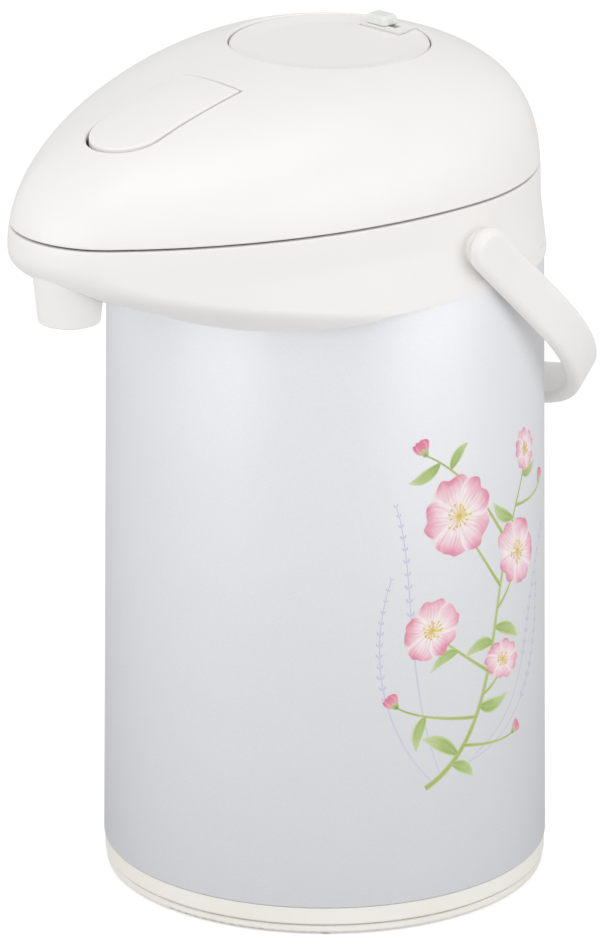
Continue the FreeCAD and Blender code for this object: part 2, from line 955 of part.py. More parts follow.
lock_top_z = button_top_z + fit_gap
lock_foot_top_z = lock_top_z - lock_bridge_thickness - fit_gap
lid_bottom_z = seam_z + seam_gap / 2
lever_axis_z = ridge_height(lever_axis_y) - lever_axis_depth
lid_plate_top_z = lid_plate_z + lid_plate_thickness
ear_low_x = lever_width / 2 + lever_gap + lever_ear_gap


def lid_solid(inset):
    return head_loft(lid_levels(lid_bottom_z), inset, inset)


def lid_inside():
    # Hollow of the lid, carried on through its open underside
    levels = [lid_bottom_z - plastic_wall] + lid_levels(lid_bottom_z)
    return head_loft(levels, plastic_wall, plastic_wall)


def lid_screw_places():
    places = []
    for side in (-1, 1):
        places.append(V(side * lid_boss_rear_x, lid_boss_rear_y, 0))
        places.append(V(side * lid_boss_front_x, lid_boss_front_y, 0))
    return places


def lever_prism(side_gap, tip_gap, tail_gap):
    # Upright prism over the lever's outline: straight sides and a round front end
    half = lever_width / 2 + side_gap
    centre_y = lever_tip_y - tip_gap + half
    high = lid_top_z + cut_far
    tip = cylinder(half, deck_top_z, high, 0, centre_y)
    straight = block(-half, half, centre_y, lever_tail_y + tail_gap, deck_top_z, high)
    return tip.fuse(straight)


def lever_ears():
    ears = []
    for side in (-1, 1):
        x_low = min(side * ear_low_x, side * (ear_low_x + lever_ear_thickness))
        ears.append(
            block(
                x_low,
                x_low + lever_ear_thickness,
                lever_axis_y - lever_ear_reach,
                lever_axis_y + lever_ear_reach,
                lever_axis_z - lever_ear_reach,
                lid_top_z,
            )
        )
    return ears


def lock_bridge():
    top = lock_top_z
    bridge = block(
        -lock_bridge_half_width,
        lock_bridge_half_width,
        lock_bridge_front_y,
        button_y + button_radius + button_gap + guide_wall,
        top - lock_bridge_thickness,
        top,
    )
    slot_half = lock_stem_length / 2 + lock_travel / 2 + fit_gap
    slot_depth = lock_stem_depth / 2 + fit_gap
    slot_low = top - lock_bridge_thickness - cut_past
    slot = block(
        -slot_half, slot_half, lock_y - slot_depth, lock_y + slot_depth, slot_low, top + cut_past
    )
    return bridge.cut(slot)


def lid_skin_block():
    # Solid lid with its seam edge, the button's rim and the lever's slot cut and rounded
    block_shape = lid_solid(0)
    block_shape = block_shape.makeFillet(edge_round, edges_level(block_shape, lid_bottom_z))
    well = cylinder(button_radius + button_gap, guide_bottom_z, lid_top_z + cut_past, 0, button_y)
    block_shape = block_shape.cut(well)
    rim_edges = edges_along(block_shape, well, guide_bottom_z + cut_past)
    block_shape = block_shape.makeFillet(rim_round, rim_edges)
    slot = lever_prism(lever_gap, lever_tip_gap, lever_tail_gap)
    block_shape = block_shape.cut(slot)
    return block_shape.makeFillet(edge_round, edges_along(block_shape, slot, guide_bottom_z))


def lid_cover():
    hole_radius = button_radius + button_gap
    core = lid_solid(plastic_wall / 2)
    cover = lid_skin_block().cut(lid_inside())
    inner_parts = [cylinder(hole_radius + guide_wall, guide_bottom_z, lid_top_z, 0, button_y)]
    for place in lid_screw_places():
        inner_parts.append(cylinder(boss_radius, lid_plate_top_z, lid_top_z, place.x, place.y))
    inner_parts += lever_ears()
    for part in inner_parts:
        cover = cover.fuse(part.common(core))
    cover = cover.cut(cylinder(hole_radius, guide_bottom_z - cut_past, lid_top_z + cut_past, 0, button_y))
    cover = cover.fuse(lock_bridge().common(lid_solid(0)))
    cover = cover.cut(lever_prism(lever_gap, lever_tip_gap, lever_tail_gap))
    for place in lid_screw_places():
        cover = cover.cut(screw_hole(place.x, place.y, lid_plate_z, -1))
    ear_end = ear_low_x + lever_ear_thickness
    cover = cover.cut(cross_cylinder(lever_pin_radius, -ear_end, ear_end, lever_axis_y, lever_axis_z))
    return cover.fuse(lid_knuckle()).cut(lid_hinge_room()).removeSplitter()


def lid_knuckle():
    barrel = cross_cylinder(knuckle_radius, -knuckle_half_length, knuckle_half_length, hinge_y, hinge_z)
    web = block(
        -knuckle_half_length,
        knuckle_half_length,
        half_width(hinge_z) - plastic_wall,
        hinge_y,
        hinge_z,
        hinge_z + knuckle_radius,
    )
    return barrel.fuse(web)


def lid_hinge_room():
    # Bore for the pin, and room for the collar's ears beside the knuckle
    room = cross_cylinder(
        hinge_pin_radius + running_gap, -knuckle_half_length, knuckle_half_length, hinge_y, hinge_z
    )
    for side in (-1, 1):
        near = side * knuckle_half_length
        far = side * (knuckle_half_length + ear_length + ear_room)
        low_x = min(near, far)
        high_x = max(near, far)
        room = room.fuse(cross_cylinder(knuckle_radius + knuckle_room, low_x, high_x, hinge_y, hinge_z))
    return room


def lid_inner_plate():
    clear = plastic_wall + fit_gap
    levels = [lid_plate_z + plastic_wall, lid_plate_top_z + plastic_wall]
    plate = head_loft(levels, clear, plastic_wall)
    opening = cylinder(
        bellows_radius + bellows_room, lid_plate_z - cut_past, lid_plate_top_z + cut_past, 0, button_y
    )
    plate = plate.cut(opening)
    slot = block(
        -hook_half_width - hook_room,
        hook_half_width + hook_room,
        lever_axis_y - hook_slot_front,
        lever_axis_y + lever_knuckle_radius,
        lid_plate_z - cut_past,
        lid_plate_top_z + cut_past,
    )
    plate = plate.cut(slot)
    spring_post = cylinder(
        lever_spring_radius + lever_spring_land, lid_plate_z, lever_spring_low_z, 0, lever_spring_y
    )
    plate = plate.fuse(spring_post)
    for place in lid_screw_places():
        plate = plate.cut(screw_hole(place.x, place.y, lid_plate_z, -1))
    return plate


def lid_screws():
    return Part.makeCompound([screw(place.x, place.y, lid_plate_z, -1) for place in lid_screw_places()])


seat_top_z = lid_plate_z
seat_bottom_z = seat_top_z - seat_thickness
lid_gasket_bottom_z = ring_top_z + fit_gap


def bellows_seat():
    plug_outer = mouth_radius - plug_gap
    plate = cylinder(seat_radius, seat_bottom_z, seat_top_z, 0, button_y)
    plug = tube(plug_outer, plug_outer - plug_wall, deck_top_z - plug_reach, seat_bottom_z)
    seat = plate.fuse(plug)
    for i in range(air_hole_count):
        angle = math.radians(360 * i / air_hole_count)
        x = seat_hole_circle * math.cos(angle)
        y = button_y + seat_hole_circle * math.sin(angle)
        seat = seat.cut(cylinder(air_hole_radius, seat_bottom_z - cut_past, seat_top_z + cut_past, x, y))
    return seat.cut(cylinder(flap_stem_radius, seat_bottom_z - cut_past, seat_top_z + cut_past, 0, button_y))


def lid_gasket():
    return tube(
        neck_radius + lid_gasket_inner_room,
        mouth_radius + lid_gasket_overlap,
        lid_gasket_bottom_z,
        seat_bottom_z,
    )


def outlet_valve_flap():
    flap = cylinder(flap_radius, seat_bottom_z - flap_thickness, seat_bottom_z, 0, button_y)
    stem = cylinder(flap_stem_radius, seat_bottom_z, seat_top_z + flap_stem_proud, 0, button_y)
    return flap.fuse(stem)


# Pump

plunger_low_z = button_top_z - button_skirt + plunger_lift
bellows_height = plunger_low_z - seat_top_z


def bellows():
    fold_height = bellows_height / bellows_folds
    outside = [(0, seat_top_z)]
    inside = [(0, seat_top_z + bellows_wall)]
    trough = bellows_radius - bellows_fold
    for i in range(bellows_folds):
        low = seat_top_z + i * fold_height
        outside += [(trough, low), (bellows_radius, low + fold_height / 2)]
    outside += [(trough, plunger_low_z), (0, plunger_low_z)]
    skin = Part.Face(Part.makePolygon([V(r, 0, z) for r, z in outside + [outside[0]]]))
    solid = skin.revolve(V(0, 0, 0), V(0, 0, 1), 360)
    inner = [(0, seat_top_z - cut_past)]
    for i in range(bellows_folds):
        low = seat_top_z + i * fold_height
        inner += [(trough - bellows_wall, low), (bellows_radius - 2 * bellows_wall, low + fold_height / 2)]
    inner += [(trough - bellows_wall, plunger_low_z), (trough - bellows_wall, plunger_low_z + cut_past)]
    inner += [(0, plunger_low_z + cut_past), (0, seat_top_z - cut_past)]
    inner[1:1] = [(trough - bellows_wall, seat_top_z - cut_past)]
    hollow = Part.Face(Part.makePolygon([V(r, 0, z) for r, z in inner]))
    solid = solid.cut(hollow.revolve(V(0, 0, 0), V(0, 0, 1), 360))
    solid.translate(V(0, button_y, 0))
    return solid


def return_spring():
    return coil(spring_radius, spring_wire, seat_top_z, plunger_low_z, spring_turns, 0, button_y)


def button_notch(gap):
    # Room in the button for the bridge that carries the lock
    half = lock_bridge_half_width + gap
    front_y = lock_bridge_front_y - gap
    back_y = button_y + button_radius + cut_past
    return block(-half, half, front_y, back_y, guide_bottom_z, lid_top_z)


def push_button():
    bottom = button_top_z - button_skirt
    cap_low = button_top_z - button_cap
    shell = turned(
        [
            (0, cap_low, 0),
            (button_radius - button_wall, cap_low, 0),
            (button_radius - button_wall, bottom, 0),
            (button_radius, bottom, 0),
            (button_radius, button_top_z, button_rim_round),
            (button_radius - button_rim_width, button_top_z - button_dish, button_dish_round),
            (0, button_top_z - button_dish, 0),
        ],
        button_y,
    )
    boss = cylinder(button_boss_radius, plunger_low_z + plunger_thickness, cap_low, 0, button_y)
    button = shell.fuse(boss).cut(button_notch(lock_room))
    return button.cut(screw_hole(0, button_y, plunger_low_z, -1)).removeSplitter()


def plunger_plate():
    plate = cylinder(
        bellows_radius - plunger_set_in, plunger_low_z, plunger_low_z + plunger_thickness, 0, button_y
    )
    for i in range(air_hole_count):
        angle = math.radians(45 + 360 * i / air_hole_count)
        x = plunger_hole_circle * math.cos(angle)
        y = button_y + plunger_hole_circle * math.sin(angle)
        plate = plate.cut(cylinder(air_hole_radius, plunger_low_z - cut_past, button_top_z, x, y))
    return plate.cut(screw_hole(0, button_y, plunger_low_z, -1))


def intake_valve():
    top = plunger_low_z + plunger_thickness
    return tube(intake_outer_radius, intake_inner_radius, top, top + flap_thickness, 0, button_y)


def plunger_screw():
    return screw(0, button_y, plunger_low_z, -1)


# Lock



def lock_tab():
    low = lock_top_z + fit_gap
    half = lock_tab_length / 2
    knob = block(
        lock_rest_x - half,
        lock_rest_x + half,
        lock_y - lock_tab_depth / 2,
        lock_y + lock_tab_depth / 2,
        low,
        low + lock_tab_height,
    )
    knob = knob.makeFillet(lock_tab_round, [edge for edge in knob.Edges if edge.BoundBox.ZMax > low + 0.1])
    stem = block(
        lock_rest_x - lock_stem_length / 2,
        lock_rest_x + lock_stem_length / 2,
        lock_y - lock_stem_depth / 2,
        lock_y + lock_stem_depth / 2,
        lock_foot_top_z - lock_foot_thickness,
        low + join_bite,
    )
    return knob.fuse(stem)


def lock_slide_plate():
    plate = block(
        lock_rest_x - lock_foot_half_length,
        lock_rest_x + lock_foot_half_length,
        lock_y - lock_foot_half_depth,
        lock_y + lock_foot_half_depth,
        lock_foot_top_z - lock_foot_thickness,
        lock_foot_top_z,
    )
    opening = block(
        lock_rest_x - lock_stem_length / 2,
        lock_rest_x + lock_stem_length / 2,
        lock_y - lock_stem_depth / 2,
        lock_y + lock_stem_depth / 2,
        lock_foot_top_z - cut_far,
        lock_foot_top_z + cut_far,
    )
    return plate.cut(opening)


# Lid release

lever_tail_low_z = lever_axis_z - lever_knuckle_radius
lever_spring_high_z = lever_tail_low_z
lever_spring_low_z = lever_spring_high_z - lever_spring_height


def release_lever():
    outside = lid_solid(0)
    outside.translate(V(0, 0, lever_proud))
    inside = lid_inside()
    inside.translate(V(0, 0, lever_proud))
    core = lid_solid(plastic_wall / 2)
    outline = lever_prism(0, 0, 0)
    plug = outside.common(outline)
    plug = plug.makeFillet(lever_round, edges_along(plug, outline, guide_bottom_z))
    plate = plug.cut(inside)
    knuckle_half = hook_half_width + lever_knuckle_overhang
    knuckle = cross_cylinder(
        lever_knuckle_radius, -knuckle_half, knuckle_half, lever_axis_y, lever_axis_z
    )
    web = block(
        -hook_half_width,
        hook_half_width,
        lever_axis_y - lever_web_half,
        lever_axis_y + lever_web_half,
        lever_axis_z,
        lid_top_z,
    ).common(core)
    tail_end_y = lever_spring_y + lever_tail_reach
    tail_top_z = lever_tail_low_z + lever_tail_thickness
    tail = block(
        -lever_tail_half_width, lever_tail_half_width, lever_axis_y, tail_end_y, lever_tail_low_z, tail_top_z
    )
    lever = joined([plate, knuckle, web, tail])
    bore = lever_pin_radius + running_gap
    return lever.cut(cross_cylinder(bore, -lever_width, lever_width, lever_axis_y, lever_axis_z))


def latch_hook():
    top = lever_axis_z - lever_knuckle_radius
    nose_top = latch_ledge_z - fit_gap
    nose_low = nose_top - hook_depth
    front = lever_axis_y - hook_thickness
    prongs = []
    for side in (-1, 1):
        x_low = min(side * hook_slot_half_width, side * hook_half_width)
        x_high = x_low + hook_half_width - hook_slot_half_width
        arm = block(x_low, x_high, front, lever_axis_y, nose_low, top)
        nose = block(
            x_low, x_high, lever_axis_y, latch_post_y - hook_thickness + hook_bite, nose_low, nose_top
        )
        prongs.append(arm.fuse(nose))
    bridge = block(-hook_half_width, hook_half_width, front, lever_axis_y, top - hook_bridge_height, top)
    return joined(prongs + [bridge])


def lever_pin():
    ear_end = ear_low_x + lever_ear_thickness
    return cross_cylinder(lever_pin_radius, -ear_end, ear_end, lever_axis_y, lever_axis_z)


def lever_spring():
    return coil(
        lever_spring_radius,
        lever_spring_wire,
        lever_spring_low_z,
        lever_spring_high_z,
        lever_spring_turns,
        0,
        lever_spring_y,
    )


# Carrying handle

# The bail leans on the back of the body, which sets how long its arms are
lean = math.radians(handle_rest_angle)
lean_depth = shell_top_radius + fit_gap - pivot_y + handle_width / 2 * math.sin(lean)
handle_length = lean_depth / math.cos(lean) + handle_thickness / 2
stub_end = brow_half_width - plastic_wall - stub_inset - fit_gap


def handle_bail():
    # Drawn upright about its pivots, then turned down to where it hangs behind the body
    mid_x = handle_outer_half_width - handle_thickness / 2
    arm_top = handle_length - handle_corner_radius
    corner_x = mid_x - handle_corner_radius
    diagonal = handle_corner_radius * math.sqrt(0.5)
    path = Part.Wire(
        [
            Part.makeLine(V(-mid_x, 0, 0), V(-mid_x, 0, arm_top)),
            Part.Arc(
                V(-mid_x, 0, arm_top),
                V(-corner_x - diagonal, 0, arm_top + diagonal),
                V(-corner_x, 0, handle_length),
            ).toShape(),
            Part.makeLine(V(-corner_x, 0, handle_length), V(corner_x, 0, handle_length)),
            Part.Arc(
                V(corner_x, 0, handle_length),
                V(corner_x + diagonal, 0, arm_top + diagonal),
                V(mid_x, 0, arm_top),
            ).toShape(),
            Part.makeLine(V(mid_x, 0, arm_top), V(mid_x, 0, 0)),
        ]
    )
    half_t = handle_thickness / 2
    half_w = handle_width / 2
    corners = [
        V(-mid_x - half_t, -half_w, 0),
        V(-mid_x + half_t, -half_w, 0),
        V(-mid_x + half_t, half_w, 0),
        V(-mid_x - half_t, half_w, 0),
    ]
    section = Part.Wire(rounded_edges(corners, [handle_edge_radius] * 4))
    bail = path.makePipeShell([section], True, False)
    for side in (-1, 1):
        inner = side * handle_inner_x
        outer = side * handle_outer_half_width
        end = cross_cylinder(half_w, min(inner, outer), max(inner, outer), 0, 0)
        rims = [edge for edge in end.Edges if edge.Curve.TypeId == "Part::GeomCircle"]
        end = end.makeFillet(handle_edge_radius, rims)
        stub = cross_cylinder(
            stub_radius, min(side * stub_end, inner + side), max(side * stub_end, inner + side), 0, 0
        )
        bail = bail.fuse(end).fuse(stub)
    bail = bail.cut(handle_screw_holes())
    return placed_handle(bail.removeSplitter())


def placed_handle(shape):
    shape.rotate(V(0, 0, 0), V(1, 0, 0), -(90.0 + handle_rest_angle))
    shape.translate(V(0, pivot_y, pivot_z))
    return shape


def handle_screw_holes():
    # Tapped holes in the inner ends of the stubs
    holes = []
    for side in (-1, 1):
        holes.append(Part.makeCylinder(screw_radius, screw_length, V(side * stub_end, 0, 0), V(side, 0, 0)))
    return holes[0].fuse(holes[1])


def handle_washers():
    washers = []
    for side in (-1, 1):
        disc = Part.makeCylinder(washer_radius, washer_thickness, V(side * stub_end, 0, 0), V(-side, 0, 0))
        hole = Part.makeCylinder(screw_radius, washer_thickness, V(side * stub_end, 0, 0), V(-side, 0, 0))
        washers.append(disc.cut(hole))
    return placed_handle(Part.makeCompound(washers))


def handle_screws():
    screws = []
    for side in (-1, 1):
        seat = V(side * (stub_end - washer_thickness), 0, 0)
        head = Part.makeCylinder(screw_head_radius, screw_head_height, seat, V(-side, 0, 0))
        shank = Part.makeCylinder(screw_radius, screw_length, seat, V(side, 0, 0))
        screws.append(head.fuse(shank))
    return placed_handle(Part.makeCompound(screws))


# Each node with the function that makes it

makers = [
    outer_shell,
    bottom_cover,
    turntable,
    rubber_feet,
    swivel_retainer,
    retainer_screw,
    bottle_outer_wall,
    bottle_inner_wall,
    bottle_cushion,
    neck_gasket,
    mouth_ring,
    mouth_ring_screws,
    dip_tube,
    delivery_pipe,
    pipe_seal,
    tip_valve_housing,
    tip_valve_ball,
    outlet_pipe,
    spout_nozzle,
    collar,
    hinge_pin,
    lid_cover,
    lid_inner_plate,
    lid_screws,
    bellows_seat,
    lid_gasket,
    outlet_valve_flap,
    bellows,
    return_spring,
    push_button,
    plunger_plate,
    intake_valve,
    plunger_screw,
    lock_tab,
    lock_slide_plate,
    release_lever,
    latch_hook,
    lever_pin,
    lever_spring,
    handle_bail,
    handle_washers,
    handle_screws,
]

os.makedirs("parts", exist_ok=True)
for maker in makers:
    shape = maker()
    shape.exportStep("parts/" + maker.__name__ + ".step")
    print(maker.__name__, len(shape.Solids), round(shape.Volume), shape.isValid())
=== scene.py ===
# %% [markdown]
# # An upright pump pot, dressed for a product picture
# The solids of this pot are already made and packed, each at its real place in metres. This lesson gives
# them the surfaces that the eye expects: glossy moulded plastic, pearl enamel on sheet steel, silicone,
# silvered glass and steel wire. It also makes the pieces that a mesh does better than a solid: the metal body
# with its rolled edges, and the flower print that lies on the enamel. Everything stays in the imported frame,
# so that the lid, the button, the lever and the handle still move.

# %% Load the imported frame
import json
import math
import random

import bmesh
import bpy
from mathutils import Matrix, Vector


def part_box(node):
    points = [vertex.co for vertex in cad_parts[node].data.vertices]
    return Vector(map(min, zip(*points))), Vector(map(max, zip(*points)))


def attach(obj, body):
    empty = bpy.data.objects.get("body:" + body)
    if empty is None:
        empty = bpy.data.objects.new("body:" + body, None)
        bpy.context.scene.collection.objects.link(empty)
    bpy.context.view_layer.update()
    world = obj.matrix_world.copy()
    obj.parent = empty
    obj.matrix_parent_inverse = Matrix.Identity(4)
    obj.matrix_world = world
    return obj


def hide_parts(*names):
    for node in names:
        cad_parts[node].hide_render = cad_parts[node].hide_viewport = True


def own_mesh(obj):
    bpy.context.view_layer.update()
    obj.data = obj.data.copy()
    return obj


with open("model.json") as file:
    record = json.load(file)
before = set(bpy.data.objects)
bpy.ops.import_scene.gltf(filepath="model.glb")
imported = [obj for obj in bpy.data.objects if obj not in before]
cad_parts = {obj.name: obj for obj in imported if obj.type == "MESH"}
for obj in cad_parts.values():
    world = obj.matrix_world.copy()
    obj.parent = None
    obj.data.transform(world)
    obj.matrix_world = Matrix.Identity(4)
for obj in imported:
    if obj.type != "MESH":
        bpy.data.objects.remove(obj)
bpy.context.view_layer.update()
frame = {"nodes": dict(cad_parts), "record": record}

# %% [markdown]
# ## Camera first
# A product picture of a tall pot is taken from far away with a long lens, which keeps its sides nearly
# parallel. A short lens close by would show more drama but would bend the body. The camera stands three
# metres off, an eighth of a turn round from the spout and a little above the lid, and looks at a point beside
# the axis, because the nose makes the pot wider on the left. Doing this first shows each later step from the
# right side.

# %% Place the camera
MM = 0.001
CAMERA_TURN = math.radians(45.0)
CAMERA_RISE = math.radians(19.3)
CAMERA_DISTANCE = 3.0
LENS_MM = 306.3
SENSOR_MM = 36.0
AIM_ASIDE_MM = -9.31
AIM_HEIGHT_MM = 152

to_the_right = Vector((math.cos(CAMERA_TURN), math.sin(CAMERA_TURN), 0.0))
aim = to_the_right * (AIM_ASIDE_MM * MM) + Vector((0, 0, AIM_HEIGHT_MM * MM))
away = Vector(
    (
        math.sin(CAMERA_TURN) * math.cos(CAMERA_RISE),
        -math.cos(CAMERA_TURN) * math.cos(CAMERA_RISE),
        math.sin(CAMERA_RISE),
    )
)
camera_data = bpy.data.cameras.new("long_lens")
camera_data.sensor_fit = "VERTICAL"
camera_data.sensor_height = SENSOR_MM
camera_data.lens = LENS_MM
camera = bpy.data.objects.new("camera", camera_data)
camera.location = aim + away * CAMERA_DISTANCE
camera.rotation_euler = away.to_track_quat("Z", "Y").to_euler()
bpy.context.collection.objects.link(camera)
bpy.context.scene.camera = camera
print("camera", CAMERA_DISTANCE, "m away, lens", LENS_MM, "mm")

# %% [markdown]
# ## Helpers for the finishes
# A finish starts from a colour that a person can read, so the colours below are sRGB hex values, and one
# function turns them into the linear numbers that the shader works with. Another adds a node with its
# settings and its links in one line. A node tree could also be built by hand in the editor, but in code each
# choice can carry its reason.

# %% Colour, node and material helpers
def linear(hex_colour):
    """Undoes the sRGB curve, whose five constants are those of the standard."""
    channels = [int(hex_colour[i : i + 2], 16) / 255 for i in (1, 3, 5)]
    return tuple(c / 12.92 if c <= 0.04045 else ((c + 0.055) / 1.055) ** 2.4 for c in channels) + (1.0,)


def add_node(tree, kind, sockets=None, **settings):
    """Adds a node. A socket gets either a plain value or the output that feeds it."""
    node = tree.nodes.new(kind)
    for name, value in settings.items():
        setattr(node, name, value)
    for socket, value in (sockets or {}).items():
        if isinstance(value, bpy.types.NodeSocket):
            tree.links.new(value, node.inputs[socket])
        else:
            node.inputs[socket].default_value = value
    return node


def map_range(tree, value, start, end, low, high):
    """The value's band from start to end, stretched to the band from low to high."""
    node = add_node(
        tree,
        "ShaderNodeMapRange",
        {"Value": value, "From Min": start, "From Max": end, "To Min": low, "To Max": high},
    )
    return node.outputs["Result"]


def calculate(tree, operation, *values):
    node = add_node(tree, "ShaderNodeMath", dict(enumerate(values)), operation=operation)
    return node.outputs["Value"]


def colour_ramp(tree, share, stops):
    """A colour for each share; each stop is (share, hex colour)."""
    node = add_node(tree, "ShaderNodeValToRGB", {"Fac": share})
    elements = node.color_ramp.elements
    for element, (position, colour) in ((elements[0], stops[0]), (elements[1], stops[-1])):
        element.position = position
        element.color = linear(colour)
    for position, colour in stops[1:-1]:
        elements.new(position).color = linear(colour)
    return node.outputs["Color"]


def new_finish(name, ior=1.5, metallic=0.0):
    """An empty finish: its material, its node tree and its shader."""
    finish = bpy.data.materials.new(name)
    finish.use_nodes = True
    tree = finish.node_tree
    tree.nodes.clear()
    shader = add_node(tree, "ShaderNodeBsdfPrincipled", {"IOR": ior, "Metallic": metallic})
    add_node(tree, "ShaderNodeOutputMaterial", {"Surface": shader.outputs["BSDF"]})
    return finish, tree, shader


def per_metre(size_mm):
    """How often a pattern of this size repeats in a metre, which is what a texture's scale means here."""
    return 1000.0 / size_mm


print("helpers ready; white is", [round(c, 3) for c in linear("#F4F2EE")])

# %% [markdown]
# ## Two patterns that most pieces share
# Real moulded plastic is never quite even. Over a few centimetres its colour drifts as the melt flowed, and
# the mould's polish leaves a faint grain that breaks up the gloss. Both are noise on object coordinates, so
# they stay put when a piece moves. Glass, rubber and enamel get the same two patterns in other sizes. Wear is
# left out, since the pot is new.

# %% Drift of colour, and grain of the mould
# A noise texture seldom leaves this band, so it is stretched from here to the full range.
NOISE_LOW = 0.3
NOISE_HIGH = 0.7
GRAIN_STRENGTH = 0.6
# The polish changes over a distance of so many grains.
GRAINS_PER_POLISH = 18


def drifting_colour(tree, pale, deep, size_mm):
    """A colour that wanders between two shades. Also gives the coordinates that it lies on."""
    place = add_node(tree, "ShaderNodeTexCoord").outputs["Object"]
    drift = add_node(
        tree,
        "ShaderNodeTexNoise",
        {"Vector": place, "Scale": per_metre(size_mm), "Detail": 3.0, "Roughness": 0.55},
    )
    colour = colour_ramp(tree, drift.outputs["Fac"], [(NOISE_LOW, deep), (NOISE_HIGH, pale)])
    return colour, place


def grainy_gloss(tree, shader, place, grain_mm, depth_mm, smooth, rough):
    """A fine bump, and a roughness that wanders between two values over a much larger distance."""
    grain = add_node(
        tree, "ShaderNodeTexNoise", {"Vector": place, "Scale": per_metre(grain_mm), "Detail": 2.0}
    )
    bump = add_node(
        tree,
        "ShaderNodeBump",
        {"Height": grain.outputs["Fac"], "Distance": depth_mm * MM, "Strength": GRAIN_STRENGTH},
    )
    polish = add_node(
        tree,
        "ShaderNodeTexNoise",
        {"Vector": place, "Scale": per_metre(grain_mm * GRAINS_PER_POLISH), "Detail": 2.0},
    )
    roughness = map_range(tree, polish.outputs["Fac"], NOISE_LOW, NOISE_HIGH, smooth, rough)
    tree.links.new(bump.outputs["Normal"], shader.inputs["Normal"])
    tree.links.new(roughness, shader.inputs["Roughness"])


def stuff(name, pale, deep, drift_mm, grain, gloss, ior=1.5, metallic=0.0, more=None):
    """A whole finish. Grain is (size, depth) in mm, gloss is (smooth, rough), more sets further inputs."""
    finish, tree, shader = new_finish(name, ior, metallic)
    colour, place = drifting_colour(tree, pale, deep, drift_mm)
    tree.links.new(colour, shader.inputs["Base Color"])
    grainy_gloss(tree, shader, place, *grain, *gloss)
    for socket, value in (more or {}).items():
        shader.inputs[socket].default_value = value
    return finish


print("patterns ready")

# %% [markdown]
# ## Glossy white ABS
# The lid, the collar, the lever, the button, the spout and the handle are injection-moulded ABS from polished
# moulds. ABS has an index of refraction of about 1.54. The eye sees a warm white with wide soft highlights,
# because the mould is polished by hand and the plastic shrinks a little as it cools. The grain is really
# about 0.2 mm; it is drawn at 0.9 mm so that it shows at all.

# %% Gloss ABS, satin polypropylene and matt inner polypropylene
MELT_DRIFT_MM = 45.0
ABS_IOR = 1.54
POLYPROPYLENE_IOR = 1.49
gloss_abs_white = stuff(
    "gloss_ABS_warm_white", "#F8F6F3", "#F6F4F0", MELT_DRIFT_MM, (0.9, 0.004), (0.34, 0.42), ABS_IOR
)
# The base is polypropylene, softer and creamier, with an eggshell sheen.
satin_pp_cream = stuff(
    "satin_polypropylene_cream", "#F9F7F0", "#F6F3EA", MELT_DRIFT_MM, (0.7, 0.01), (0.36, 0.46),
    POLYPROPYLENE_IOR,
)
# Inner pieces come from unpolished moulds, which leave them matt.
matt_pp_white = stuff(
    "matt_polypropylene_white", "#E9E8E3", "#E1DFD9", MELT_DRIFT_MM, (0.6, 0.03), (0.52, 0.64),
    POLYPROPYLENE_IOR,
)
print("plastics:", gloss_abs_white.name, satin_pp_cream.name, matt_pp_white.name)

# %% [markdown]
# ## Pearl enamel on sheet steel
# The body is steel sheet, rolled and lacquered with a pale blue-grey enamel that holds mica flakes. The
# flakes give two things: a soft metallic lift where the light rakes along the surface, and a sparkle too fine
# to see one by one. Flakes are about 0.05 mm; they are drawn at 0.5 mm. The colour is painted paler at the
# shoulder and darker at the foot. This is painted shade, standing for the light that falls from above. A thin
# clear top coat adds a faint second highlight.

# %% Pearl enamel
FLAKE_MM = 0.5
FLAKE_REACH = 0.9
SPARKLE_LOW, SPARKLE_HIGH = 0.97, 1.03
# Painted shade: below the lower height the enamel's colour is darkest, above the upper height palest,
# standing for light from above.
SHADED_BELOW_MM, LIT_ABOVE_MM = 10, 240
FOOT_PAINTED_SHADE, SHOULDER_PAINTED_LIGHT = 0.865, 1.07

pearl_enamel, tree, shader = new_finish("pearl_enamel_on_sheet_steel", metallic=0.3)
colour, place = drifting_colour(tree, "#F0F1F3", "#EEEFF1", 70.0)
heights = add_node(tree, "ShaderNodeSeparateXYZ", {"Vector": place})
# Painted shade by height: the base colour is scaled from the foot factor up to the shoulder factor.
painted_shade_by_height = map_range(
    tree, heights.outputs["Z"], SHADED_BELOW_MM * MM, LIT_ABOVE_MM * MM, FOOT_PAINTED_SHADE, SHOULDER_PAINTED_LIGHT
)
flakes = add_node(
    tree, "ShaderNodeTexVoronoi", {"Vector": place, "Scale": per_metre(FLAKE_MM)}, feature="F1"
)
sparkle = map_range(tree, flakes.outputs["Distance"], 0.0, FLAKE_REACH, SPARKLE_LOW, SPARKLE_HIGH)
# The flakes' sparkle, times the painted shade by height.
shade = calculate(tree, "MULTIPLY", sparkle, painted_shade_by_height)
flakes_and_painted_shade = add_node(tree, "ShaderNodeVectorMath", {0: colour, "Scale": shade}, operation="SCALE")
tree.links.new(flakes_and_painted_shade.outputs["Vector"], shader.inputs["Base Color"])
grainy_gloss(tree, shader, place, grain_mm=1.2, depth_mm=0.003, smooth=0.30, rough=0.36)
shader.inputs["Specular IOR Level"].default_value = 0.15
shader.inputs["Specular Tint"].default_value = linear("#C8C8C8")
shader.inputs["Coat Weight"].default_value = 0.05
shader.inputs["Coat Roughness"].default_value = 0.2
print("enamel:", pearl_enamel.name)

# %% [markdown]
# ## The other stuffs
# Inside the pot there is milky polyethylene pipe, silvered glass, grey silicone seals, black rubber and
# stainless steel wire and pins. Most of them show only when the lid stands open, but each gets its own
# finish, because a model that is taken apart should still look right. The lock's tab is tinted acrylic, which
# lets some light through.

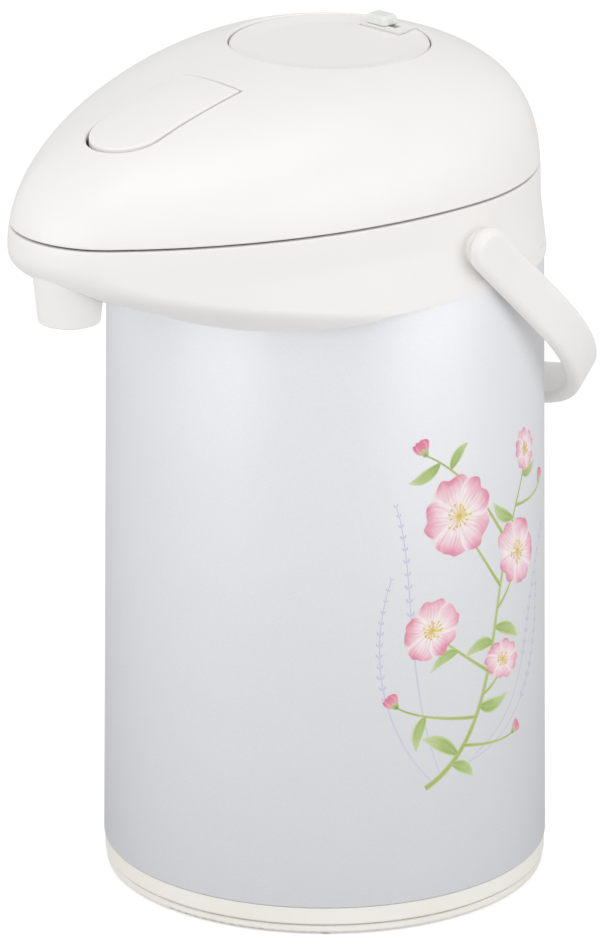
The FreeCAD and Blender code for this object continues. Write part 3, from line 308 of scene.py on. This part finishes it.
# %% Pipes, glass, rubber and the lock's acrylic
milky_polyethylene = stuff(
    "milky_polyethylene_pipe", "#ECEDE9", "#E0E3DF", 20.0, (0.8, 0.01), (0.38, 0.5), ior=1.51,
    more={"Transmission Weight": 0.25},
)
silvered_glass = stuff(
    "silvered_borosilicate_glass", "#E4E7EC", "#D5D9E0", 30.0, (6.0, 0.02), (0.06, 0.12), metallic=1.0,
    more={"Coat Weight": 1.0, "Coat Roughness": 0.03},
)
silicone_seal = stuff(
    "moulded_silicone_pale_grey", "#CFCFCB", "#C3C3BF", 12.0, (0.5, 0.02), (0.5, 0.65), ior=1.41
)
black_rubber = stuff(
    "moulded_rubber_black", "#2A2A2B", "#1C1C1D", 8.0, (0.6, 0.04), (0.66, 0.8), ior=1.52
)
tinted_acrylic = stuff(
    "tinted_acrylic_grey_green", "#F8FAF6", "#F2F5F0", 6.0, (0.8, 0.004), (0.16, 0.26), ior=1.49,
    more={"Transmission Weight": 0.1},
)
print("soft and clear stuffs ready")

# %% [markdown]
# ## Bright stainless steel
# Pins, screws and springs are drawn or turned from stainless steel. Drawing leaves fine lines along the wire,
# about 0.1 mm apart, which are drawn here at 0.8 mm. A metal has no colour of its own under its gloss, so its
# base colour is the colour of its reflection, and its index of refraction stays at the default.

# %% Stainless steel
# The wave texture draws about 3.2 lines in each of its own lengths, so these lie 0.8 mm apart.
WAVE_LENGTH_MM = 2.52
LINE_DEPTH_MM = 0.003
STEEL_POLISH_MM = 5.0

bright_steel, tree, shader = new_finish("drawn_stainless_steel", metallic=1.0)
colour, place = drifting_colour(tree, "#C9CACD", "#B4B6BA", 10.0)
lines = add_node(
    tree, "ShaderNodeTexWave", {"Vector": place, "Scale": per_metre(WAVE_LENGTH_MM), "Distortion": 2.0}
)
drawn = add_node(
    tree,
    "ShaderNodeBump",
    {"Height": lines.outputs["Fac"], "Distance": LINE_DEPTH_MM * MM, "Strength": 0.4},
)
polish = add_node(tree, "ShaderNodeTexNoise", {"Vector": place, "Scale": per_metre(STEEL_POLISH_MM)})
roughness = map_range(tree, polish.outputs["Fac"], 0.0, 1.0, 0.22, 0.36)
tree.links.new(colour, shader.inputs["Base Color"])
tree.links.new(drawn.outputs["Normal"], shader.inputs["Normal"])
tree.links.new(roughness, shader.inputs["Roughness"])
print("steel:", bright_steel.name)

# %% [markdown]
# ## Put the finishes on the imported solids
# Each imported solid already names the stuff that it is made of, so a small table from that name to a finish
# dresses all of them at once. Doing it piece by piece would work too, but a new screw could then be
# forgotten.

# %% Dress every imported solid
finish_of = {
    "shell_paint": pearl_enamel,
    "white_plastic": gloss_abs_white,
    "base_plastic": satin_pp_cream,
    "inner_plastic": matt_pp_white,
    "pipe_plastic": milky_polyethylene,
    "lock_plastic": tinted_acrylic,
    "bottle_glass": silvered_glass,
    "steel": bright_steel,
    "seal_rubber": silicone_seal,
    "dark_rubber": black_rubber,
}
slot_of = {piece["node"]: piece["material_slot"] for piece in frame["record"]["subparts"]}
for node, slot_name in slot_of.items():
    for slot in frame["nodes"][node].material_slots:
        slot.material = finish_of[slot_name]
print("dressed", len(slot_of), "nodes in", len(finish_of), "finishes")

# %% [markdown]
# ## Bellows and springs that shorten
# Three pieces change their length in use: the bellows and its spring under the button, and the small spring
# under the lever. A rigid solid would stand through the pressed button. Here a copy of each takes its place
# and rides with the lid; the copies keep their full length.


def shortening_copy(node):
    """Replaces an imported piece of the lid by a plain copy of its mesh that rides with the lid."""
    packed = frame["nodes"][node]
    data = packed.data.copy()
    data.transform(packed.matrix_world)
    copy = bpy.data.objects.new("flexing_" + node, data)
    bpy.context.collection.objects.link(copy)
    for slot in copy.material_slots:
        slot.material = finish_of[slot_of[node]]
    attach(copy, "lid")
    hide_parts(node)
    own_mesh(copy)


shortening_copy("bellows")
shortening_copy("return_spring")
shortening_copy("lever_spring")

# %% [markdown]
# ## The metal body
# The real body is one sheet rolled into a slightly tapering tube, with both edges turned in so that no sharp
# edge shows. It could be a cone with a bevel modifier, but a profile spun round the axis lets each edge be
# rounded by itself. Four corners are enough: a vertex bevel rounds the two outer ones before the spin.

# %% Lathe helper and the body
SPIN_STEPS = 288
ROUNDING_STEPS = 5
MERGE_BELOW_MM = 0.001
SHARP_ABOVE = math.radians(38)
RIM_RADIUS = 80.8
SHEET = 0.8
FOOT_ROUNDING = 0.7
RIM_ROUNDING = 0.4


def lathe(name, corners, finish):
    """Spins a closed profile round the axis. Each corner is (radius, height, rounding) in mm."""
    mesh = bmesh.new()
    verts = [mesh.verts.new((radius * MM, 0.0, height * MM)) for radius, height, _ in corners]
    for i, vert in enumerate(verts):
        mesh.edges.new((vert, verts[(i + 1) % len(verts)]))
    for vert, (_, _, rounding) in zip(verts, corners):
        if rounding:
            bmesh.ops.bevel(
                mesh, geom=[vert], offset=rounding * MM, offset_type="OFFSET",
                segments=ROUNDING_STEPS, profile=0.5, affect="VERTICES", material=-1,
            )
    profile = mesh.verts[:] + mesh.edges[:]
    bmesh.ops.spin(
        mesh, geom=profile, cent=(0, 0, 0), axis=(0, 0, 1), angle=math.tau, steps=SPIN_STEPS,
        use_merge=True,
    )
    bmesh.ops.remove_doubles(mesh, verts=mesh.verts[:], dist=MERGE_BELOW_MM * MM)
    bmesh.ops.recalc_face_normals(mesh, faces=mesh.faces[:])
    return finished_piece(name, mesh, finish)


def finished_piece(name, mesh, finish):
    """Turns a bmesh into an object with smooth faces and one finish."""
    data = bpy.data.meshes.new(name)
    mesh.to_mesh(data)
    mesh.free()
    data.materials.append(finish)
    data.shade_smooth()
    data.set_sharp_from_angle(angle=SHARP_ABOVE)
    piece = bpy.data.objects.new(name, data)
    bpy.context.collection.objects.link(piece)
    return piece


shell_low, shell_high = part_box("outer_shell")
foot_radius = shell_high.x / MM
shell_foot = shell_low.z / MM
shell_rim = shell_high.z / MM
body_tube = lathe(
    "enamelled_body_tube",
    [
        (foot_radius - SHEET, shell_foot, 0.0),
        (foot_radius, shell_foot, FOOT_ROUNDING),
        (RIM_RADIUS, shell_rim, RIM_ROUNDING),
        (RIM_RADIUS - SHEET, shell_rim, 0.0),
    ],
    pearl_enamel,
)
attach(body_tube, "pot")
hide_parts("outer_shell")
print("body tube", round(foot_radius, 1), "mm at the foot,", len(body_tube.data.polygons), "faces")

# %% [markdown]
# ## A flower print on the enamel
# Such pots carry a decal of flowers, fired or lacquered onto one side. Here it is a loose sprig of open
# five-petal blossoms, buds and small leaves, with thin lilac sprays behind them. An image would be the usual
# way, but this lesson draws it with geometry: each petal is a small grid, bent to its outline and then laid
# on the body at a lift of a few hundredths of a millimetre, or a little more for the top layers. That keeps
# sharp edges at any distance and needs no picture file.

# %% Lay flat shapes on the body
# How far each layer lies off the enamel in mm, from the lowest to the highest.
GRASS_LIFT = 0.02
SEED_LIFT = 0.025
TWIG_LIFT = 0.03
SHOOT_LIFT = 0.035
LEAF_LIFT = 0.04
RIB_LIFT = 0.045
PETAL_LIFT = 0.05
SEPAL_LIFT = 0.085
STAMEN_LIFT = 0.11
HEART_LIFT = 0.125
POLLEN_LIFT = 0.13
# Each petal lies by so much over the one before.
PETAL_STEP = 0.008
BUD_STEP = 0.01
# The share of a curve over which its direction is taken.
CURVE_STEP = 0.02


def on_body(across, height, lift):
    """A point of the print: mm round the body from the +X side, mm above the floor, mm off the enamel."""
    share = (height - shell_foot) / (shell_rim - shell_foot)
    radius = foot_radius + (RIM_RADIUS - foot_radius) * share
    turn = across / radius
    outward = Vector((math.cos(turn), math.sin(turn), 0))
    return outward * ((radius + lift) * MM) + Vector((0, 0, height * MM))


def lay_patch(mesh, columns, rows, outline, lift):
    """Bends a grid to outline(u, v) with u from -1 to 1 and v from 0 to 1, and lays it on the body."""
    uv_layer = mesh.loops.layers.uv.verify()
    made = bmesh.ops.create_grid(mesh, x_segments=columns, y_segments=rows, size=1.0)
    spots = {vert: (vert.co.x, (vert.co.y + 1) / 2) for vert in made["verts"]}
    faces = {face for vert in made["verts"] for face in vert.link_faces}
    for face in faces:
        for loop in face.loops:
            u, v = spots[loop.vert]
            loop[uv_layer].uv = ((u + 1) / 2, v)
    for vert, (u, v) in spots.items():
        across, height = outline(u, v)
        vert.co = on_body(across, height, lift)


def curve_point(points, t):
    """A point of the smooth curve that starts and ends on the outer points and leans to the inner ones."""
    level = [Vector(point) for point in points]
    while len(level) > 1:
        level = [a.lerp(b, t) for a, b in zip(level, level[1:])]
    return level[0]


def stroke(mesh, points, half_width, rows, lift, columns=1):
    """A brush stroke along a curve; half_width(v) in mm."""

    def outline(u, v):
        here = curve_point(points, v)
        ahead = curve_point(points, min(1.0, v + CURVE_STEP)) - curve_point(points, max(0.0, v - CURVE_STEP))
        ahead.normalize()
        return here + Vector((ahead.y, -ahead.x)) * (u * half_width(v))

    lay_patch(mesh, columns, rows, outline, lift)


def tapering(lost, left):
    """A half width in mm that loses one part on the way to the tip, where the other part is left."""
    return lambda v: lost * (1 - v) + left


def on_disc(u, v):
    """Maps the square grid to a round disc, so that no corner is left on a petal or a dot."""
    w = 2 * v - 1
    return u * math.sqrt(max(0.0, 1 - w * w / 2)), w * math.sqrt(max(0.0, 1 - u * u / 2))


print("print helpers ready; the +X side of the body at 120 mm is", on_body(0, 120, 0))

# %% [markdown]
# ## Inks
# Decal inks are thin and slightly satin beside the enamel, and these are laid on like watercolour. The petals
# fade from a rose rim to a nearly white heart, with fine veins that run from heart to rim and a pale edge
# where one petal lies on the next. All of it follows each petal's own UV map: V runs from heart to tip and U
# across, which is just what lay_patch writes.

# %% Inks for petals, leaves and lilac sprays
INK_IOR = 1.48
INK_ROUGHNESS = 0.42
CLOUD_MM = 7.0
# The cloud shifts the wash by up to half of this share to either side.
CLOUD_SHARE = 0.7
VEIN_LENGTH = 1.3
VEINS_FROM, VEINS_TO = 0.45, 0.8
EDGE_STRENGTH = 0.9
# The numbered sockets of a Mix node that work with colours.
MIX_A, MIX_B, MIX_RESULT = 6, 7, 2


def mixed(tree, share, first, second):
    """The first colour, replaced by the second one's hex colour as the share grows."""
    node = add_node(
        tree,
        "ShaderNodeMix",
        {"Factor": share, MIX_A: first, MIX_B: linear(second)},
        data_type="RGBA",
    )
    return node.outputs[MIX_RESULT]


def ink(name, stops, vein_colour, vein_count, vein_strength, edge_colour, edge_from):
    """A wash along V with veins across U, and an edge of its own colour along both sides."""
    finish, tree, shader = new_finish(name, INK_IOR)
    uv = add_node(tree, "ShaderNodeUVMap").outputs["UV"]
    split = add_node(tree, "ShaderNodeSeparateXYZ", {"Vector": uv})
    place = add_node(tree, "ShaderNodeTexCoord").outputs["Object"]
    cloud = add_node(
        tree, "ShaderNodeTexNoise", {"Vector": place, "Scale": per_metre(CLOUD_MM), "Detail": 4.0}
    )
    along = calculate(tree, "MULTIPLY_ADD", cloud.outputs["Fac"], CLOUD_SHARE, split.outputs["Y"])
    centred = calculate(tree, "SUBTRACT", along, CLOUD_SHARE / 2)
    wash = colour_ramp(tree, centred, stops)
    stretched = add_node(tree, "ShaderNodeMapping", {"Vector": uv, "Scale": (vein_count, VEIN_LENGTH, 1.0)})
    veins = add_node(
        tree, "ShaderNodeTexNoise", {"Vector": stretched.outputs["Vector"], "Scale": 1.0, "Detail": 4.0}
    )
    vein_share = map_range(tree, veins.outputs["Fac"], VEINS_FROM, VEINS_TO, 0.0, vein_strength)
    veined = mixed(tree, vein_share, wash, vein_colour)
    aside = calculate(tree, "SUBTRACT", split.outputs["X"], 0.5)
    from_middle = calculate(tree, "ABSOLUTE", aside)
    edge_share = map_range(tree, from_middle, edge_from, 0.5, 0.0, EDGE_STRENGTH)
    edged = mixed(tree, edge_share, veined, edge_colour)
    tree.links.new(edged, shader.inputs["Base Color"])
    shader.inputs["Roughness"].default_value = INK_ROUGHNESS
    return finish


petal_ink = ink(
    "decal_ink_rose",
    [
        (0.0, "#EFE7A0"),
        (0.14, "#FAF6E6"),
        (0.42, "#FBEFF1"),
        (0.72, "#F6D2DB"),
        (0.9, "#EFB2C2"),
        (1.0, "#E795AC"),
    ],
    "#E07E9B", 15.0, 0.62, "#FCF3F4", 0.40,
)
bud_ink = ink(
    "decal_ink_deep_rose",
    [(0.0, "#F3C9A9"), (0.3, "#EC9FB4"), (1.0, "#E27D9B")],
    "#CF5C80", 9.0, 0.5, "#F9D6DE", 0.38,
)
leaf_ink = ink(
    "decal_ink_leaf_green",
    [(0.0, "#9DB765"), (0.5, "#B7CD84"), (1.0, "#D6E0B0")],
    "#86A252", 7.0, 0.6, "#DCE6BD", 0.34,
)
stem_ink = ink(
    "decal_ink_stem_green",
    [(0.0, "#A9BC6A"), (0.6, "#B9CB7D"), (1.0, "#9CB25E")],
    "#C9A77C", 3.0, 0.4, "#D3DEA2", 0.22,
)
lilac_ink = ink(
    "decal_ink_lilac",
    [(0.0, "#DAD8E6"), (0.6, "#D2CDE4"), (1.0, "#C8C0E2")],
    "#B8AEDA", 5.0, 0.4, "#E2DFEC", 0.3,
)
pollen_ink = ink(
    "decal_ink_pollen_yellow",
    [(0.0, "#EFD869"), (1.0, "#E3BB45")],
    "#B98A2E", 5.0, 0.4, "#F4E391", 0.4,
)
print("inks ready")

# %% [markdown]
# ## Blossoms
# A blossom is five petals round a heart. Each petal is a disc that narrows towards the heart and has a soft
# notch at its tip. A flower seen partly from the side is the same shape squeezed in one direction, so one
# function can draw them all. A ring of fine stamens with pollen tips covers the place where the petals meet.

# %% Draw the blossoms
PETALS = 5
STAMENS = 15
# Shares of a petal's length: its width at the heart, the waves of its sides and tip, and the tip's notch.
HEART_WIDTH = 0.16
SIDE_WAVE, SIDE_WAVES = 0.03, 7
TIP_WAVE, TIP_WAVES = 0.035, 6.5
NOTCH_DEPTH, NOTCH_WIDTH = 0.085, 0.2
# The tip's waves and its notch fade out fast towards the heart, by this power.
TIP_FADE = 5
# How much one petal or stamen differs from the next: turns in radians, the others in shares.
PETAL_TURN_PLAY = 0.07
PETAL_WIDTH, PETAL_WIDTH_PLAY = 0.60, 0.04
PETAL_LENGTHS = (0.95, 1.05)
STAMEN_TURN_PLAY = 0.14
STAMEN_REACH = (0.2, 0.36)

random.seed(11)
petal_mesh = bmesh.new()
stamen_mesh = bmesh.new()
pollen_mesh = bmesh.new()


def facing(centre, local_x, local_y, size, squeeze, lean):
    """Turns a flower's own coordinates into the print's, squeezed along the direction that it leans to."""
    along = Vector((math.cos(lean), math.sin(lean)))
    side = Vector((-along.y, along.x))
    spot = Vector((local_x, local_y)) * size
    return Vector(centre) + along * (spot.dot(along) * squeeze) + side * spot.dot(side)


def petal_outline(centre, size, squeeze, lean, turn, wide, ruffle):
    """The outline of one petal; turn is its direction and wide its half width beside its length."""

    def outline(u, v):
        disc_x, disc_y = on_disc(u, v)
        y = (disc_y + 1) / 2
        x = disc_x * wide * (HEART_WIDTH + (1 - HEART_WIDTH) * math.sin(0.5 * math.pi * y) ** 0.9)
        x += SIDE_WAVE * math.sin(SIDE_WAVES * y + ruffle) * y
        wave = TIP_WAVE * math.sin(TIP_WAVES * disc_x + ruffle)
        notch = NOTCH_DEPTH * math.exp(-((disc_x / NOTCH_WIDTH) ** 2))
        y += (wave - notch) * v**TIP_FADE
        return facing(
            centre,
            x * math.cos(turn) - y * math.sin(turn),
            x * math.sin(turn) + y * math.cos(turn),
            size, squeeze, lean,
        )

    return outline


def dot_patch(mesh, centre, radius, lift):
    """A small round dot."""

    def outline(u, v):
        disc_x, disc_y = on_disc(u, v)
        return centre[0] + radius * disc_x, centre[1] + radius * disc_y

    lay_patch(mesh, 4, 4, outline, lift)


def blossom(centre, size, squeeze, lean, start):
    """A whole flower; start is the turn of its first petal."""
    for i in range(PETALS):
        turn = start + math.tau * i / PETALS + random.uniform(-PETAL_TURN_PLAY, PETAL_TURN_PLAY)
        wide = PETAL_WIDTH + random.uniform(-PETAL_WIDTH_PLAY, PETAL_WIDTH_PLAY)
        length = size * random.uniform(*PETAL_LENGTHS)
        ruffle = random.uniform(0, math.tau)
        outline = petal_outline(centre, length, squeeze, lean, turn, wide, ruffle)
        lay_patch(petal_mesh, 14, 16, outline, PETAL_LIFT + PETAL_STEP * i)
    for i in range(STAMENS):
        turn = start + math.tau * i / STAMENS + random.uniform(-STAMEN_TURN_PLAY, STAMEN_TURN_PLAY)
        reach = random.uniform(*STAMEN_REACH)
        tip = facing(centre, reach * math.cos(turn), reach * math.sin(turn), size, squeeze, lean)
        middle = Vector(centre).lerp(tip, 0.5) + Vector((0.2, -0.1))
        stroke(stamen_mesh, [centre, middle, tip], tapering(0.05, 0.09), 5, STAMEN_LIFT)
        dot_patch(pollen_mesh, tip, 0.022 * size + 0.1, POLLEN_LIFT)
    dot_patch(pollen_mesh, centre, 0.07 * size, HEART_LIFT)


# Each flower: centre and petal length in mm, squeeze, lean and start.
blossoms = [
    ((-12.0, 158.0), 16.0, 0.97, 0.4, 0.3),
    ((21.0, 136.0), 15.0, 0.80, 0.7, 0.9),
    ((-24.0, 116.0), 13.0, 0.84, 2.3, 0.1),
    ((11.0, 97.0), 10.5, 0.70, 1.2, 0.6),
    ((27.0, 174.0), 9.0, 0.76, 0.5, 0.2),
]
for flower in blossoms:
    blossom(*flower)
petals = finished_piece("printed_petals", petal_mesh, petal_ink)
stamens = finished_piece("printed_stamens", stamen_mesh, pollen_ink)
pollen = finished_piece("printed_pollen", pollen_mesh, pollen_ink)
print(len(blossoms), "blossoms,", len(petals.data.polygons), "petal faces")

# %% [markdown]
# ## Twig, leaves and buds
# The sprig hangs together by one curved twig with side shoots. Twigs and leaves are brush strokes: a grid
# that follows a curve and swells or tapers on the way. Each leaf grows from a share along the twig or a
# shoot, so that none floats, and a thin rib lies on its middle. A bud is three slim petals in a cup of small
# sepals.

# %% Draw the twig, the leaves and the buds
twig_mesh = bmesh.new()
leaf_mesh = bmesh.new()
bud_mesh = bmesh.new()
twig = [(-27.0, 55.0), (-3.0, 66.0), (16.0, 98.0), (-4.0, 138.0), (24.0, 152.0), (27.0, 172.0)]
stroke(twig_mesh, twig, tapering(0.85, 0.35), 60, TWIG_LIFT, columns=2)


def shoot(share, tip, bend):
    """A side shoot from a share along the twig to its tip."""
    root = curve_point(twig, share)
    route = [root, root.lerp(Vector(tip), 0.5) + Vector(bend), Vector(tip)]
    stroke(twig_mesh, route, tapering(0.45, 0.3), 20, SHOOT_LIFT, columns=2)
    return route


def leaf(route, share, reach, bend, wide):
    """A leaf from a share along a twig or shoot; reach is the way to its tip, in mm."""
    root = curve_point(route, share)
    tip = root + Vector(reach)
    middle = root.lerp(tip, 0.45) + Vector(bend)

    def half_width(v):
        # The leaf is widest before its middle, and does not quite close at its tip.
        return wide * math.sin(math.pi * min(0.995, v**0.8 + 0.005)) ** 0.9 + 0.05

    stroke(leaf_mesh, [root, middle, tip], half_width, 18, LEAF_LIFT, columns=8)
    stroke(twig_mesh, [root, middle, tip.lerp(root, 0.12)], tapering(0.16, 0.06), 12, RIB_LIFT)


def bud(route, turn, size):
    """A closed bud on the end of a shoot."""
    tip = curve_point(route, 1.0)
    for i, spread in enumerate((-0.3, 0.3, 0.0)):
        outline = petal_outline(tip, size, 1.0, 0.0, turn + spread, 0.36, 2.0 + i)
        lay_patch(bud_mesh, 6, 8, outline, PETAL_LIFT + BUD_STEP * i)

    def half_width(v):
        return 0.11 * size * math.sin(math.pi * (0.35 + 0.65 * v)) + 0.03

    for spread in (-0.55, 0.0, 0.55):
        sepal = Vector((-math.sin(turn + spread), math.cos(turn + spread))) * size * 0.5
        stroke(leaf_mesh, [tip, tip + sepal * 0.5, tip + sepal], half_width, 8, SEPAL_LIFT, columns=2)


high_bud = shoot(0.70, (-26.0, 184.0), (-2.0, 12.0))
shoot(0.58, (-12.0, 158.0), (-3.0, 2.0))
shoot(0.52, (21.0, 136.0), (2.0, -4.0))
left_flower = shoot(0.36, (-24.0, 116.0), (-6.0, 3.0))
shoot(0.30, (11.0, 97.0), (3.0, -3.0))
left_bud = shoot(0.24, (-38.0, 88.0), (-8.0, -1.0))
low_bud = shoot(0.16, (17.0, 66.0), (5.0, -3.0))
far_bud = shoot(0.82, (42.0, 156.0), (5.0, -3.0))
bud(high_bud, 0.5, 7.0)
bud(left_bud, 0.7, 6.4)
bud(low_bud, -1.0, 5.6)
bud(far_bud, -0.4, 6.0)
for route, share, reach, bend, wide in (
    (twig, 0.10, (10.0, -7.0), (3.0, 1.0), 2.5),
    (twig, 0.13, (-15.0, 9.0), (-2.0, 4.0), 2.9),
    (twig, 0.27, (16.0, 1.0), (0.0, -4.0), 2.8),
    (twig, 0.43, (-14.0, -2.0), (0.0, 4.0), 2.6),
    (twig, 0.47, (15.0, -8.0), (3.0, 2.0), 2.6),
    (twig, 0.66, (15.0, -5.0), (2.0, 3.0), 2.3),
    (twig, 0.78, (-12.0, 9.0), (-3.0, -2.0), 2.5),
    (twig, 0.93, (11.0, 2.0), (1.0, -3.0), 2.0),
    (high_bud, 0.84, (-13.0, -6.0), (-1.0, -3.5), 2.4),
    (high_bud, 0.72, (8.0, 9.0), (-1.0, 2.5), 2.1),
    (left_bud, 0.55, (-4.0, -13.0), (-3.0, 0.0), 2.3),
    (left_flower, 0.45, (-12.0, -6.0), (-1.0, 3.5), 2.2),
):
    leaf(route, share, reach, bend, wide)
twigs = finished_piece("printed_twigs", twig_mesh, stem_ink)
leaves = finished_piece("printed_leaves", leaf_mesh, leaf_ink)
buds = finished_piece("printed_buds", bud_mesh, bud_ink)
print("twig with", len(leaves.data.polygons), "leaf faces and", len(buds.data.polygons), "bud faces")

# %% [markdown]
# ## Lilac sprays
# Behind the blossoms, thin lilac grasses fan out from the foot of the sprig and give the print its cool half.
# Towards its tip each carries pairs of tiny seeds that shrink as they go. The seeds have a fixed random
# start, so each run draws the same.

# %% Draw the lilac sprays
SEED_PAIRS = 12
# Seeds begin at this share of a blade and go on to its tip.
SEEDS_FROM = 0.46

seed_mesh = bmesh.new()
grass_mesh = bmesh.new()
grasses = [
    [(-24.0, 57.0), (-44.0, 78.0), (-50.0, 110.0), (-40.0, 138.0)],
    [(-20.0, 58.0), (-36.0, 96.0), (-30.0, 140.0), (-38.0, 166.0)],
    [(-10.0, 61.0), (20.0, 66.0), (40.0, 88.0), (38.0, 122.0)],
    [(-4.0, 64.0), (34.0, 80.0), (22.0, 112.0), (46.0, 138.0)],
]


def seed(here, ahead, aside, size):
    """One seed that leans forward from its blade."""
    belly = here + (ahead * 0.3 + aside * 0.7) * size
    tip = here + (ahead * 1.1 + aside * 0.8) * size

    def half_width(v):
        return 0.26 * size * math.sin(math.pi * (0.1 + 0.88 * v))

    stroke(seed_mesh, [here, belly, tip], half_width, 6, SEED_LIFT, columns=2)


for grass in grasses:
    stroke(grass_mesh, grass, tapering(0.3, 0.12), 48, GRASS_LIFT)
    for i in range(SEED_PAIRS):
        share = SEEDS_FROM + (1 - SEEDS_FROM) * i / (SEED_PAIRS - 1)
        here = curve_point(grass, share)
        ahead = (here - curve_point(grass, share - CURVE_STEP)).normalized()
        for side in (-1, 1):
            size = (2.5 - 1.5 * share) * random.uniform(0.85, 1.15)
            seed(here, ahead, Vector((ahead.y, -ahead.x)) * side, size)
seeds = finished_piece("printed_seeds", seed_mesh, lilac_ink)
grass_blades = finished_piece("printed_grasses", grass_mesh, lilac_ink)
for piece in (petals, stamens, pollen, twigs, leaves, buds, seeds, grass_blades):
    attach(piece, "pot")
print(len(grasses), "grasses with", len(seeds.data.polygons), "seed faces")

# %% [markdown]
# ## Floor and light
# A white product on a white floor is lit softly from all round, so that only its own form draws it. Two very
# large lamps stand left and right of the camera, which darkens the body a little along its middle and its
# edges, one more hangs above the lid, and a bright sky fills the rest. Small lamps would give hard shadows
# that a studio avoids.
#
# Product pictures have a pure white ground. Real paper never quite reaches it without burning out the
# product, so studios light the ground by itself. Here the paper glows a little, but only for the camera's own
# rays: seen by the pot, it stays plain pale paper and adds no light from below.

# %% Floor
PAPER_GLOW = 0.5
FLOOR_HALF_SIDE = 9.0

paper, tree, shader = new_finish("matt_white_paper_sweep", 1.45)
colour, place = drifting_colour(tree, "#DEDEDE", "#DBDBDB", 400.0)
tree.links.new(colour, shader.inputs["Base Color"])
grainy_gloss(tree, shader, place, grain_mm=2.0, depth_mm=0.02, smooth=0.8, rough=0.9)
seen = add_node(tree, "ShaderNodeLightPath")
glow = calculate(tree, "MULTIPLY", seen.outputs["Is Camera Ray"], PAPER_GLOW)
shader.inputs["Emission Color"].default_value = linear("#FFFFFF")
tree.links.new(glow, shader.inputs["Emission Strength"])
floor_mesh = bmesh.new()
bmesh.ops.create_grid(floor_mesh, x_segments=1, y_segments=1, size=FLOOR_HALF_SIDE)
floor = finished_piece("paper_floor", floor_mesh, paper)
print("floor", 2 * FLOOR_HALF_SIDE, "m square")

# %% Sky and lamps
SKY_STRENGTH = 0.66
# The height of the pot's middle, at which the lamps look.
MIDDLE_HEIGHT = 0.16

world = bpy.data.worlds.new("soft_studio")
world.use_nodes = True
world.node_tree.nodes["Background"].inputs["Color"].default_value = linear("#FDFDFF")
world.node_tree.nodes["Background"].inputs["Strength"].default_value = SKY_STRENGTH
bpy.context.scene.world = world


def soft_lamp(name, turn_degrees, height, distance, size, power):
    """A square lamp that looks at the middle of the pot; its place is a compass turn round the pot."""
    turn = math.radians(turn_degrees)
    lamp_data = bpy.data.lights.new(name, "AREA")
    lamp_data.shape = "SQUARE"
    lamp_data.size = size
    lamp_data.energy = power
    lamp = bpy.data.objects.new(name, lamp_data)
    lamp.location = Vector((math.sin(turn) * distance, -math.cos(turn) * distance, height))
    lamp.rotation_euler = (lamp.location - Vector((0, 0, MIDDLE_HEIGHT))).to_track_quat("Z", "Y").to_euler()
    bpy.context.collection.objects.link(lamp)


# Turn in degrees from the spout's side, then height, distance and side in metres, and power in watts.
soft_lamp("left_softbox", -12, 0.7, 2.2, 2.0, 17)
soft_lamp("right_softbox", 102, 0.7, 2.2, 2.0, 17)
soft_lamp("top_softbox", 45, 2.4, 0.3, 1.6, 8)
bpy.context.scene.view_settings.view_transform = "Standard"
